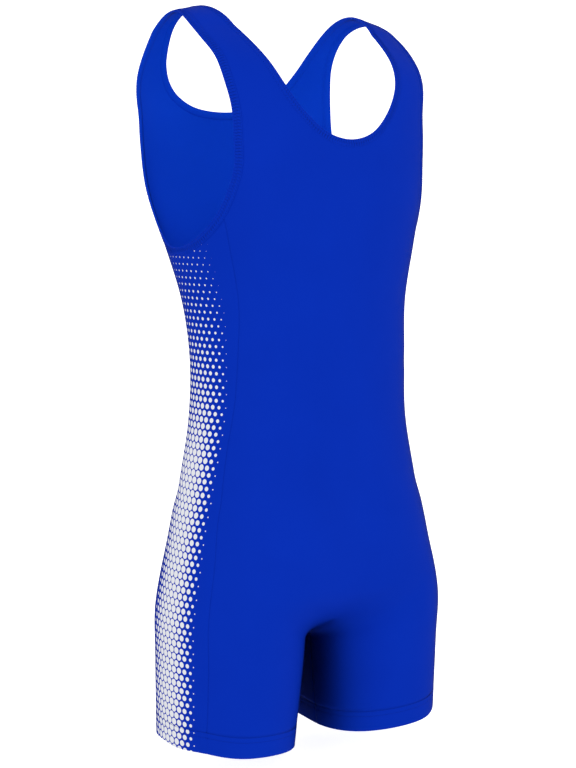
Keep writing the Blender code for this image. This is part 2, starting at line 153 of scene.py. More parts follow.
# Creases: two ends near the form, half width, and depth, negative for a trough
CREASES = np.array([
    (0.020, -0.150, -0.700, 0.085, -0.150, -0.672, 0.007, -0.0007),
    (-0.018, -0.150, -0.706, -0.078, -0.152, -0.682, 0.008, -0.0008),
    (0.030, -0.148, -0.724, 0.075, -0.140, -0.716, 0.006, -0.0005),
    (-0.028, -0.146, -0.728, -0.090, -0.138, -0.712, 0.007, -0.0006),
    (0.024, 0.050, -0.706, 0.092, 0.052, -0.684, 0.010, -0.0012),
    (-0.022, 0.050, -0.702, -0.086, 0.052, -0.690, 0.009, -0.0011),
    (0.118, -0.108, -0.292, 0.098, -0.132, -0.345, 0.008, -0.0006),
    (-0.120, -0.106, -0.296, -0.104, -0.128, -0.338, 0.007, -0.0006),
    (0.122, 0.046, -0.262, 0.090, 0.066, -0.300, 0.009, -0.0008),
    (-0.126, 0.044, -0.258, -0.088, 0.068, -0.306, 0.010, -0.0009),
    (0.030, 0.045, -0.398, 0.112, 0.010, -0.372, 0.013, -0.0013),
    (-0.020, 0.044, -0.410, -0.108, 0.012, -0.392, 0.012, -0.0012),
    (0.060, 0.040, -0.442, 0.124, 0.000, -0.428, 0.011, -0.0009),
    (-0.052, 0.041, -0.436, -0.122, 0.000, -0.446, 0.012, -0.0010),
    (0.135, -0.080, -0.408, 0.100, -0.118, -0.420, 0.010, -0.0006),
    (-0.134, -0.082, -0.398, -0.096, -0.120, -0.414, 0.011, -0.0006),
], dtype=[(name, float) for name in ("x0", "y0", "z0", "x1", "y1", "z1", "width", "depth")])


class Side(Enum):
    """The wearer's two sides, as the sign of X."""

    LEFT = 1.0
    RIGHT = -1.0


class Facing(Enum):
    """The two ways that a main panel faces, as the sign of Y."""

    FRONT = -1.0
    BACK = 1.0


class Profile:
    """A table's columns as smooth curves of height: cubic pieces whose slopes follow the rows."""

    def __init__(self, table: np.ndarray) -> None:
        """Keeps the rows in rising order, with each column's slope at each row.

        Args:
            table: rows from the top down, with the height first.
        """
        self.names = table.dtype.names[1:]
        self.heights = table["z"][::-1]
        self.values = np.stack([table[name][::-1] for name in self.names])
        self.slopes = np.gradient(self.values, self.heights, axis=1)

    def at(self, z: np.ndarray, *names: str) -> list[np.ndarray]:
        """Columns' values at heights z.

        Args:
            z: heights to read at.
            *names: the columns, or none for all of them.

        Returns:
            An array for each column.
        """
        z = np.clip(z, self.heights[0], self.heights[-1])
        k = np.clip(np.searchsorted(self.heights, z) - 1, 0, len(self.heights) - 2)
        span = (self.heights[1:] - self.heights[:-1])[k]
        t = (z - self.heights[k]) / span
        rise = t * t * (3.0 - 2.0 * t)
        leave = (t - 1.0) ** 2 * t * span
        arrive = t * t * (t - 1.0) * span
        rows = [self.names.index(name) for name in names or self.names]
        return [self.values[r][k] * (1.0 - rise) + self.values[r][k + 1] * rise
                + self.slopes[r][k] * leave + self.slopes[r][k + 1] * arrive for r in rows]


TORSO_PROFILE = Profile(TORSO)
LEG_PROFILE = Profile(LEG)
SEAM_PROFILE = Profile(SIDE_SEAMS)


def smooth(share: np.ndarray) -> np.ndarray:
    """Eases a share from 0 to 1, with level ends."""
    share = np.clip(share, 0.0, 1.0)
    return share * share * (3.0 - 2.0 * share)


def lengths(curve: np.ndarray) -> np.ndarray:
    """Run along a curve at each of its points."""
    steps = np.linalg.norm(np.diff(curve, axis=0), axis=1)
    return np.concatenate([[0.0], np.cumsum(steps)])


def along(curve: np.ndarray, places: np.ndarray) -> np.ndarray:
    """Points of a curve at the given runs along it."""
    runs = lengths(curve)
    return np.stack([np.interp(places, runs, curve[:, k]) for k in range(3)], -1)


def unit(vectors: np.ndarray) -> np.ndarray:
    """Vectors brought to length one."""
    return vectors / np.linalg.norm(vectors, axis=-1, keepdims=True)


@dataclass
class Form:
    """The general body form that fills the suit out, as a field that is zero on its surface."""

    shoulder_z: float = -0.108
    shoulder_rise: float = 0.119
    seat_z: float = -0.672
    seat_round: float = 0.045
    seat_flat: float = 0.300
    leg_top_z: float = -0.590
    leg_top_round: float = 0.110
    thigh_blend: float = 0.030
    crotch_blend: float = 0.045
    crotch_x: float = 0.040
    hip_blend: float = 0.010
    hip_x: float = 0.160
    crotch_y: float = -0.050
    step: float = 0.0002
    settle_steps: int = 5
    cast_steps: int = 34

    @staticmethod
    def blend(a: np.ndarray, b: np.ndarray, width: np.ndarray | float) -> np.ndarray:
        """Smooth union of two fields, rounded over the width."""
        h = np.clip(0.5 + 0.5 * (b - a) / width, 0.0, 1.0)
        return b * (1.0 - h) + a * h - width * h * (1.0 - h)

    def torso(self, x: np.ndarray, y: np.ndarray, z: np.ndarray) -> np.ndarray:
        """Torso: a rounded box section at each height, arched over the shoulders, round below.

        Args:
            x, y, z: places, with x not negative.

        Returns:
            The field, near to the distance.
        """
        half_width, front, back, square = TORSO_PROFILE.at(z)
        half_depth = 0.5 * (back + front)
        rise = np.maximum(0.0, z - self.shoulder_z) / self.shoulder_rise
        depth = np.sqrt(((y - 0.5 * (back - front)) / half_depth) ** 2 + rise**2)
        size = ((x / half_width) ** square + depth**square) ** (1.0 / square)
        under = np.maximum(0.0, self.seat_z - z) ** 2 / self.seat_round
        apart = np.sqrt(size**2 + self.seat_flat**2) - np.sqrt(1.0 + self.seat_flat**2)
        return apart * 0.5 * (half_width + half_depth) + under

    @staticmethod
    def leg(x: np.ndarray, y: np.ndarray, sizes: list[np.ndarray]) -> np.ndarray:
        """One leg: an ellipse at each height, squarer behind on the inside by its fullness.

        The exponent of the ellipse grows from 2 by the fullness, with an eased share both ways.

        Args:
            x, y: places across and ahead.
            sizes: the leg table's columns at the places' heights.

        Returns:
            The field, near to the distance.
        """
        centre_x, centre_y, half_width, half_depth, fullness = sizes
        across, ahead = (x - centre_x) / half_width, (y - centre_y) / half_depth
        square = 2.0 + fullness * smooth(-FULL_RATE * across) * smooth(FULL_RATE * ahead)
        size = (np.abs(across) ** square + np.abs(ahead) ** square) ** (1.0 / square)
        return (size - 1.0) * 0.5 * (half_width + half_depth)

    def value(self, points: np.ndarray) -> np.ndarray:
        """Field at the points: the smooth union of the torso and both legs.

        Args:
            points: any points.

        Returns:
            The field at each of them.
        """
        x, y, z = np.abs(points[..., 0]), points[..., 1], points[..., 2]
        sizes = LEG_PROFILE.at(z)
        legs = self.blend(self.leg(x, y, sizes), self.leg(-x, y, sizes), self.thigh_blend)
        over = np.maximum(0.0, z - self.leg_top_z) ** 2 / self.leg_top_round
        share = smooth((x - self.crotch_x) / (self.hip_x - self.crotch_x))
        width = self.crotch_blend + (self.hip_blend - self.crotch_blend) * share
        return self.blend(self.torso(x, y, z), legs + over, width)

    def gradient(self, points: np.ndarray) -> np.ndarray:
        """Gradient of the field, by central differences.

        Args:
            points: any points.

        Returns:
            The gradient at each of them.
        """
        steps = self.step * np.eye(3)
        sides = [self.value(points + s) - self.value(points - s) for s in steps]
        return np.stack(sides, -1) / (2.0 * self.step)

    def normals(self, points: np.ndarray) -> np.ndarray:
        """Unit outward normals."""
        return unit(self.gradient(points))

    def settle(self, points: np.ndarray, level: bool = False) -> np.ndarray:
        """Moves points along the gradient until they lie on the form.

        Args:
            points: points near the form.
            level: whether each point keeps its height.

        Returns:
            The points on the form.
        """
        points = np.array(points, dtype=float)
        for _ in range(self.settle_steps):
            g = self.gradient(points)
            if level:
                g[..., 2] = 0.0
            points -= (self.value(points) / (g**2).sum(-1))[..., None] * g
        return points

    def cast(self, start: np.ndarray, direction: np.ndarray, reach: float = 0.30) -> np.ndarray:
        """Where rays that start inside leave the form within the reach, by halving.

        Args:
            start: where each ray starts.
            direction: unit direction of each ray.
            reach: length within which it leaves the form.

        Returns:
            The points on the form.
        """
        near = np.zeros(start.shape[:-1])
        far = np.full(start.shape[:-1], reach)
        for _ in range(self.cast_steps):
            middle = 0.5 * (near + far)
            inside = self.value(start + direction * middle[..., None]) < 0.0
            near = np.where(inside, middle, near)
            far = np.where(inside, far, middle)
        return start + direction * near[..., None]


@dataclass
class Edge:
    """A closed edge on the form, with the opening on the left of its travel."""

    form: Form
    corners: np.ndarray
    steps: int = 16
    loop: np.ndarray = field(init=False)
    runs: np.ndarray = field(init=False)

    def __post_init__(self) -> None:
        """Draws a closed Catmull-Rom curve through the corners and lays it on the form."""
        p1 = np.asarray(self.corners, dtype=float)
        p0, p2, p3 = (np.roll(p1, shift, axis=0) for shift in (1, -1, -2))
        t = (np.arange(self.steps) / self.steps)[None, :, None]
        p0, p1, p2, p3 = (p[:, None, :] for p in (p0, p1, p2, p3))
        curve = 0.5 * (2 * p1 + (p2 - p0) * t + (2 * p0 - 5 * p1 + 4 * p2 - p3) * t**2
                       + (3 * p1 - p0 - 3 * p2 + p3) * t**3)
        self.loop = self.form.settle(curve.reshape(-1, 3))
        self.runs = lengths(np.vstack([self.loop, self.loop[:1]]))

    @property
    def length(self) -> float:
        """Length of the whole edge."""
        return float(self.runs[-1])

    def rows(self, places: np.ndarray, distances: np.ndarray) -> np.ndarray:
        """Points at runs along the edge, in a row for each distance over the form into the cloth.

        Args:
            places: runs along the edge.
            distances: how far each row lies from the edge.

        Returns:
            The points, in a row for each distance.
        """
        travel = np.roll(self.loop, -1, axis=0) - np.roll(self.loop, 1, axis=0)
        side = unit(np.cross(travel, self.form.normals(self.loop)))
        moved = self.form.settle(self.loop + side * np.asarray(distances)[:, None, None])
        moved = np.concatenate([moved, moved[:, :1]], axis=1)
        places = np.mod(places, self.length)
        points = [[np.interp(places, self.runs, row[:, k]) for k in range(3)] for row in moved]
        return self.form.settle(np.array(points).transpose(0, 2, 1))

    def at(self, places: np.ndarray, distance: float) -> np.ndarray:
        """Points at runs along the edge, moved one distance into the cloth."""
        return self.rows(places, np.array([distance]))[0]


@dataclass
class Creases:
    """Soft troughs where the knit gives at the waist, the underarms, the seat and the groin."""

    form: Form
    samples: int = 9

    def relief(self, points: np.ndarray) -> np.ndarray:
        """Height of the creases at points on the form.

        Each crease is a line laid on the form. Its height falls off as a bell curve of the
        distance to that line, and fades towards both of its ends.

        Args:
            points: points on the form.

        Returns:
            The height at each of them.
        """
        total = np.zeros(points.shape[:-1])
        share = np.linspace(0.0, 1.0, self.samples)[:, None]
        for row in CREASES:
            start = np.array([row["x0"], row["y0"], row["z0"]])
            end = np.array([row["x1"], row["y1"], row["z1"]])
            line = self.form.settle(start + (end - start) * share)
            nearest = np.full(points.shape[:-1], np.inf)
            place = np.zeros(points.shape[:-1])
            for k, (a, b) in enumerate(zip(line[:-1], line[1:])):
                t = np.clip((points - a) @ (b - a) / ((b - a) @ (b - a)), 0.0, 1.0)
                away = np.linalg.norm(points - a - t[..., None] * (b - a), axis=-1)
                place = np.where(away < nearest, (k + t) / (self.samples - 1), place)
                nearest = np.minimum(away, nearest)
            fade = np.sin(math.pi * place) ** 2
            total += row["depth"] * fade * np.exp(-((nearest / row["width"]) ** 2))
        return total


def quads(rows: int, columns: int, round_rows: bool = False, round_columns: bool = False) -> np.ndarray:
    """Faces between the neighbours in a grid of points.

    Args:
        rows: number of rows.
        columns: number of columns.
        round_rows: whether the last row joins the first one.
        round_columns: whether the last column joins the first one.

    Returns:
        The four corners of each face, as a grid of faces.
    """
    index = np.arange(rows * columns).reshape(rows, columns)
    index = np.pad(index, ((0, int(round_rows)), (0, int(round_columns))), mode="wrap")
    return np.stack((index[:-1, :-1], index[:-1, 1:], index[1:, 1:], index[1:, :-1]), -1)


def faced(faces: np.ndarray, points: np.ndarray, away: np.ndarray, probe: int) -> np.ndarray:
    """The faces, all turned over if the probed one looks against the normal at its first corner.

    Args:
        faces: corners of each face.
        points: the vertices.
        away: outward normal at each vertex.
        probe: number of the face that is looked at.

    Returns:
        The faces.
    """
    corners = points[faces[probe]]
    look = np.cross(corners[2] - corners[0], corners[3] - corners[1])
    return faces[:, ::-1] if look @ away[faces[probe, 0]] < 0.0 else faces


def link_object(name: str, data: bpy.types.ID) -> bpy.types.Object:
    """Links a new object with the data to the scene, at the origin.

    Args:
        name: the object's name.
        data: its mesh, light or camera.

    Returns:
        The object.
    """
    item = bpy.data.objects.new(name, data)
    bpy.context.scene.collection.objects.link(item)
    return item


def make_piece(name: str, points: np.ndarray, faces: list, materials: list, cloth: np.ndarray,
               slots: np.ndarray | None = None) -> bpy.types.Object:
    """Makes a mesh object at the origin, smooth, with its cloth map and its materials.

    Args:
        name: the piece's name.
        points: vertices in the part's frame.
        faces: corners of each face, as plain lists.
        materials: the piece's materials.
        cloth: across and along the cloth at each vertex, in metres, for the cloth map.
        slots: each face's material, or None for the first one.

    Returns:
        The object.
    """
    mesh = bpy.data.meshes.new(name)
    mesh.from_pydata(points.tolist(), [], faces)
    corners = np.empty(len(mesh.loops), dtype=np.int32)
    mesh.loops.foreach_get("vertex_index", corners)
    layer = mesh.uv_layers.new(name=CLOTH_MAP)
    layer.data.foreach_set("uv", cloth[corners].astype(np.float32).ravel())
    for material in materials:
        mesh.materials.append(material)
    if slots is not None:
        mesh.polygons.foreach_set("material_index", slots.astype(np.int32))
    mesh.shade_smooth()
    mesh.update()
    return link_object(name, mesh)


def linear(code: str) -> tuple[float, float, float, float]:
    """Turns an sRGB hex colour into linear red, green, blue and alpha."""
    parts = [int(code[k:k + 2], 16) / 255.0 for k in (1, 3, 5)]
    return (*[c / 12.92 if c <= 0.04045 else ((c + 0.055) / 1.055) ** 2.4 for c in parts], 1.0)


def add(tree: bpy.types.NodeTree, kind: str, inputs: dict | tuple = (), output: int | str = 0,
        **settings: object) -> bpy.types.NodeSocket:
    """Adds a node to a tree with its settings, and with its inputs' values or links.

    Args:
        tree: the node tree.
        kind: the node's type name.
        inputs: a value or a socket for each input, by name or number, or in their order.
        output: which of its outputs is wanted.
        **settings: the node's own properties.

    Returns:
        That output's socket.
    """
    node = tree.nodes.new(kind)
    for name, value in settings.items():
        setattr(node, name, value)
    for key, value in (inputs if isinstance(inputs, dict) else dict(enumerate(inputs))).items():
        if isinstance(value, bpy.types.NodeSocket):
            tree.links.new(value, node.inputs[key])
        else:
            node.inputs[key].default_value = value
    return node.outputs[output]


def blank(name: str, values: dict[str, object]) -> tuple[bpy.types.Material, bpy.types.Node]:
    """A new material and its shader, with values for the shader's inputs.

    Args:
        name: the material's name.
        values: the value of each input that is set.

    Returns:
        The material and its shader node.
    """
    made = bpy.data.materials.new(name)
    made.use_nodes = True
    shader = made.node_tree.nodes["Principled BSDF"]
    for key, value in values.items():
        shader.inputs[key].default_value = value
    return made, shader


@dataclass(frozen=True)
class DotPrint:
    """Screen print of round white dots in staggered rows: flat, slightly chalky against the knit.

    The dots shrink to both sides of the panel's middle and towards the underarm.
    """

    colour: str = "#f1f3f8"
    pitch: float = 9.0 * MILLIMETRE
    largest: float = 4.3 * MILLIMETRE
    half_band: float = 46.0 * MILLIMETRE
    full_z: float = -0.520
    fade_z: float = -0.275
    smallest_share: float = 0.22
    soft: float = 0.25 * MILLIMETRE

    def mask(self, tree: bpy.types.NodeTree, across: bpy.types.NodeSocket,
             height: bpy.types.NodeSocket) -> bpy.types.NodeSocket:
        """Print cover, 1 inside a dot and 0 outside.

        It is the distance to the centre of the nearest dot, set against that dot's own radius.
        The radius falls off as a half ellipse to both sides, and evenly with the height.

        Args:
            tree: the material's node tree.
            across: place across the panel, from its middle.
            height: height on the panel.

        Returns:
            The cover's socket.
        """
        rise = self.pitch * math.sqrt(0.75)
        lines = add(tree, MATH, (height, rise), operation="DIVIDE")
        row = add(tree, MATH, (lines,), operation="FLOOR")
        half_rows = add(tree, MATH, (row, 0.5), operation="MULTIPLY")
        stagger = add(tree, MATH, (half_rows, 0.5), operation="PINGPONG")
        dots = add(tree, MATH, (across, self.pitch), operation="DIVIDE")
        shifted = add(tree, MATH, (dots, stagger), operation="ADD")
        number = add(tree, MATH, (shifted,), operation="FLOOR")
        middle = add(tree, MATH, (number, 0.5), operation="ADD")
        unshifted = add(tree, MATH, (middle, stagger), operation="SUBTRACT")
        centre_u = add(tree, MATH, (unshifted, self.pitch), operation="MULTIPLY")
        row_middle = add(tree, MATH, (row, 0.5), operation="ADD")
        centre_v = add(tree, MATH, (row_middle, rise), operation="MULTIPLY")
        point = add(tree, "ShaderNodeCombineXYZ", (across, height))
        centre = add(tree, "ShaderNodeCombineXYZ", (centre_u, centre_v))
        away = add(tree, "ShaderNodeVectorMath", (point, centre), "Value", operation="DISTANCE")
        beside = add(tree, MATH, (centre_u, self.half_band), operation="DIVIDE")
        square = add(tree, MATH, (beside, beside), operation="MULTIPLY")
        left = add(tree, MATH, (1.0, square), operation="SUBTRACT")
        inward = add(tree, MATH, (add(tree, MATH, (left, 0.0), operation="MAXIMUM"),), operation="SQRT")
        upward = add(tree, "ShaderNodeMapRange", {
            "Value": centre_v, "From Min": self.full_z, "From Max": self.fade_z,
            "To Min": self.largest, "To Max": self.largest * self.smallest_share})
        radius = add(tree, MATH, (inward, upward), operation="MULTIPLY")
        over = add(tree, MATH, (radius, away), operation="SUBTRACT")
        return add(tree, MATH, (over, self.soft), operation="DIVIDE", use_clamp=True)


@dataclass(frozen=True)
class StretchKnit:
    """Polyester and elastane warp knit, piece-dyed: smooth, even and satin, with a fine rib.

    Real ribs are about half a millimetre apart. They are drawn twice as coarse so that a close
    view shows them, and shallow so that they stay quiet in a full view.
    """

    name: str
    colour: str = "#0833be"
    deep: str = "#072fb4"
    rib: float = 1.0 * MILLIMETRE
    course: float = 0.8 * MILLIMETRE
    rib_height: float = 0.12 * MILLIMETRE
    rib_strength: float = 0.30
    cloud_scale: float = 14.0
    cloud_detail: float = 3.0
    loop_share: float = 0.25
    rib_share: float = 1.5
    roughness: float = 0.60
    sheen: float = 0.03
    sheen_roughness: float = 0.4
    sheen_tint: str = "#0a3cd8"
    specular: float = 0.01
    # Painted shade: the deeper blue that the knit turns to where it is seen edge on, and how narrow that
    # band is
    rim: str = "#02155c"
    rim_shade_power: float = 6.0
    pattern: DotPrint | None = None

    def material(self) -> bpy.types.Material:
        """Builds the knit: a soft cloudy dye, painted shade at the outlines, chevron ribs as bump, and
        the print where it has one.

        Painted shade: the colour is mixed towards a deeper blue where the cloth is seen edge on, so its
        outlines look darker.

        Returns:
            The material.
        """
        made, shader = blank(self.name, {
            "Roughness": self.roughness, "Specular IOR Level": self.specular,
            "Sheen Weight": self.sheen, "Sheen Roughness": self.sheen_roughness,
            "Sheen Tint": linear(self.sheen_tint)})
        tree = made.node_tree
        cloth = add(tree, "ShaderNodeUVMap", uv_map=CLOTH_MAP)
        across, length = add(tree, "ShaderNodeSeparateXYZ", (cloth,)).node.outputs[:2]
        object_place = add(tree, "ShaderNodeTexCoord", output="Object")
        cloud = add(tree, "ShaderNodeTexNoise", {
            "Vector": object_place, "Scale": self.cloud_scale, "Detail": self.cloud_detail})
        colour = add(tree, "ShaderNodeMix", {0: cloud, 6: linear(self.deep), 7: linear(self.colour)}, 2,
                     data_type="RGBA")
        # Painted shade: mixes the colour towards the rim colour as the cloth turns edge on
        facing = add(tree, "ShaderNodeLayerWeight", (0.5,), "Facing")
        painted_edge_shade = add(tree, MATH, (facing, self.rim_shade_power), operation="POWER")
        colour = add(tree, "ShaderNodeMix", {0: painted_edge_shade, 6: colour, 7: linear(self.rim)}, 2,
                     data_type="RGBA")
        if self.pattern is not None:
            cover = self.pattern.mask(tree, across, length)
            colour = add(tree, "ShaderNodeMix", {0: cover, 6: colour, 7: linear(self.pattern.colour)}, 2,
                         data_type="RGBA")
        wales = add(tree, MATH, (across, self.rib), operation="DIVIDE")
        wale = add(tree, MATH, (wales, 0.5), operation="PINGPONG")
        phase = add(tree, MATH, (length, 1.0 / self.course, wale), operation="MULTIPLY_ADD")
        turn = add(tree, MATH, (phase, 2.0 * math.pi), operation="MULTIPLY")
        loop = add(tree, MATH, (add(tree, MATH, (turn,), operation="SINE"), self.loop_share),
                   operation="MULTIPLY")
        knit = add(tree, MATH, (wale, self.rib_share, loop), operation="MULTIPLY_ADD")
        bump = add(tree, "ShaderNodeBump", {
            "Strength": self.rib_strength, "Distance": self.rib_height, "Height": knit})
        tree.links.new(colour, shader.inputs["Base Color"])
        tree.links.new(bump, shader.inputs["Normal"])
        return made


@dataclass(frozen=True)
class SewingThread:
    """Textured polyester sewing thread: a shade deeper than the knit, with a soft gleam."""

    name: str = "polyester_sewing_thread"
    colour: str = "#042fae"
    deep: str = "#022288"
    twist: float = 0.6 * MILLIMETRE
    roughness: float = 0.55
    specular: float = 0.06

    def material(self) -> bpy.types.Material:
        """Builds the thread: its ply drawn as fine slanting bands of two close blues.

        Returns:
            The material.
        """
        made, shader = blank(self.name, {
            "Roughness": self.roughness, "Specular IOR Level": self.specular})
        tree = made.node_tree
        cloth = add(tree, "ShaderNodeUVMap", uv_map=CLOTH_MAP)
        across, length = add(tree, "ShaderNodeSeparateXYZ", (cloth,)).node.outputs[:2]
        slant = add(tree, MATH, (across, length), operation="ADD")
        turn = add(tree, MATH, (slant, 2.0 * math.pi / self.twist), operation="MULTIPLY")
        ply = add(tree, MATH, (turn,), operation="SINE")
        share = add(tree, MATH, (ply, 0.5, 0.5), operation="MULTIPLY_ADD")
        colour = add(tree, "ShaderNodeMix", {0: share, 6: linear(self.deep), 7: linear(self.colour)}, 2,
                     data_type="RGBA")
        tree.links.new(colour, shader.inputs["Base Color"])
        return made


@dataclass(frozen=True)
class StudioPaper:
    """Matt white background paper, lit from behind: even, with no gloss."""

    name: str = "matt_white_paper"
    colour: str = "#f6f6f6"
    tooth: float = 3.0 * MILLIMETRE
    tooth_height: float = 0.3 * MILLIMETRE
    tooth_strength: float = 0.05
    roughness: float = 0.95
    glow: float = 0.92

    def material(self) -> bpy.types.Material:
        """Builds the paper, with a barely seen tooth.

        Returns:
            The material.
        """
        made, shader = blank(self.name, {
            "Base Color": linear(self.colour), "Roughness": self.roughness,
            "Emission Color": linear(self.colour), "Emission Strength": self.glow})
        tree = made.node_tree
        object_place = add(tree, "ShaderNodeTexCoord", output="Object")
        grain = add(tree, "ShaderNodeTexNoise", {"Vector": object_place, "Scale": 1.0 / self.tooth})
        bump = add(tree, "ShaderNodeBump", {
            "Strength": self.tooth_strength, "Distance": self.tooth_height, "Height": grain})
        tree.links.new(bump, shader.inputs["Normal"])
        return made


@dataclass(frozen=True)
class BlackFelt:
    """Matt black felt over a lighting card: it takes in nearly all light."""

    name: str = "black_felt"
    colour: str = "#050505"

    def material(self) -> bpy.types.Material:
        """Builds the felt, with no gloss at all."""
        return blank(self.name, {
            "Base Color": linear(self.colour), "Roughness": 1.0, "Specular IOR Level": 0.0})[0]


@dataclass(frozen=True)
class Cut:
    width: float
    length: float
    area: float


Stitches = tuple[np.ndarray, list[list[int]], np.ndarray]


@dataclass
class Sewing:
    """Stitches as short bent threads, joined in one mesh for each seam."""

    form: Form
    thread: bpy.types.Material
    radius: float = 0.20 * MILLIMETRE
    lift: float = 0.16 * MILLIMETRE
    sink: float = 0.10 * MILLIMETRE
    sides: int = 5
    rings: int = 4
    lean: float = 0.25

    def threads(self, starts: np.ndarray, ends: np.ndarray, ups: np.ndarray, rise: float) -> Stitches:
        """Bent tubes from each start to its end.

        The centre line bows outwards as a half sine, from just under the cloth to just over it.
        Round it lies a ring of points at each step, which closes to a point at both ends.

        Args:
            starts: where each stitch goes in.
            ends: where it comes out.
            ups: outward normals.
            rise: height of the cloth over the form there.

        Returns:
            Vertices, faces and cloth map.
        """
        count = len(starts)
        t = np.linspace(0.0, 1.0, self.rings + 2)
        bow = np.sin(math.pi * t)
        height = rise - self.sink + (self.sink + self.lift) * bow
        centre = (starts[:, None] + (ends - starts)[:, None] * t[None, :, None]
                  + ups[:, None] * height[None, :, None])
        ahead = unit(ends - starts)
        beside = unit(np.cross(ahead, ups))
        turn = np.linspace(0.0, 2.0 * math.pi, self.sides, endpoint=False)
        around = (beside[:, None] * np.cos(turn)[None, :, None]
                  + unit(np.cross(beside, ahead))[:, None] * np.sin(turn)[None, :, None])
        girth = self.radius * np.sqrt(np.maximum(bow[1:-1], 0.0))
        rings = centre[:, 1:-1, None] + around[:, None] * girth[None, :, None, None]
        points = np.concatenate([rings.reshape(count, -1, 3), centre[:, [0, -1]]], axis=1)
        size = points.shape[1]
        body = quads(self.rings, self.sides, round_columns=True)
        first, last = np.full(self.sides, size - 2), np.full(self.sides, size - 1)
        tips = np.concatenate([np.stack([first, body[0, :, 1], body[0, :, 0]], -1),
                               np.stack([last, body[-1, :, 3], body[-1, :, 2]], -1)])
        offsets = size * np.arange(count)[:, None, None]
        faces = (body.reshape(-1, 4) + offsets).reshape(-1, 4).tolist()
        faces += (tips + offsets).reshape(-1, 3).tolist()
        span = np.linalg.norm(ends - starts, axis=1)
        run = np.concatenate([np.repeat(t[1:-1], self.sides), [0.0, 1.0]])[None] * span[:, None]
        girdle = np.concatenate([np.tile(turn, self.rings), [0.0, 0.0]])[None] * self.radius
        cloth = np.stack([run, np.broadcast_to(girdle, run.shape)], -1).reshape(-1, 2)
        return points.reshape(-1, 3), faces, cloth

    def row(self, line: np.ndarray, pitch: float, gap: float, rise: float) -> Stitches:
        """A row of stitches along a closed line: each covers the pitch but for the gap.

        Args:
            line: points of the line.
            pitch: from one stitch to the next.
            gap: bare cloth between two stitches.
            rise: height of the cloth over the form there.

        Returns:
            The stitches.
        """
        closed = np.vstack([line, line[:1]])
        total = lengths(closed)[-1]
        count = int(round(total / pitch))
        places = np.arange(count) * total / count
        starts = along(closed, places)
        ends = along(closed, places + total / count - gap)
        return self.threads(starts, ends, self.form.normals(starts), rise)

    def ladder(self, first: np.ndarray, second: np.ndarray, pitch: float, rise: float) -> Stitches:
        """Threads that cross from one closed line to the other and back, as a cover stitch does.

        Args:
            first: points of the one line.
            second: points of the other.
            pitch: from one stitch to the next.
            rise: height of the cloth over the form there.

        Returns:
            The stitches.
        """
        lines = [np.vstack([line, line[:1]]) for line in (first, second)]
        totals = [lengths(line)[-1] for line in lines]
        count = int(round(totals[0] / pitch))
        shares = np.arange(count + 1) / count
        one, two = (along(line, shares * total) for line, total in zip(lines, totals))
        starts = np.concatenate([one[:-1], two[:-1]])
        ends = np.concatenate([(1.0 - self.lean) * two[:-1] + self.lean * two[1:], one[1:]])
        ups = self.form.normals(0.5 * (starts + ends))
        return self.threads(starts, ends, ups, rise)

    def piece(self, name: str, groups: list[Stitches], slot: str, hand: Side = Side.LEFT) -> None:
        """Joins groups of stitches in one piece, on the wearer's left or mirrored to the right.

        Args:
            name: the piece's name.
            groups: the stitches, on the wearer's left.
            slot: the material slot of the cloth that they are sewn in; not used.
            hand: the side that they go to.
        """
        starts = np.cumsum([0] + [len(points) for points, _, _ in groups])
        faces = [[corner + int(start) for corner in face][::int(hand.value)]
                 for start, (_, group, _) in zip(starts, groups) for face in group]
        points = np.vstack([group[0] for group in groups]) * (hand.value, 1.0, 1.0)
        cloth = np.vstack([group[2] for group in groups])
        item = make_piece(name, points, faces, [self.thread], cloth)
        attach(item, BODY)
        LOG.info("%s: %d faces of stitches", name, len(faces))


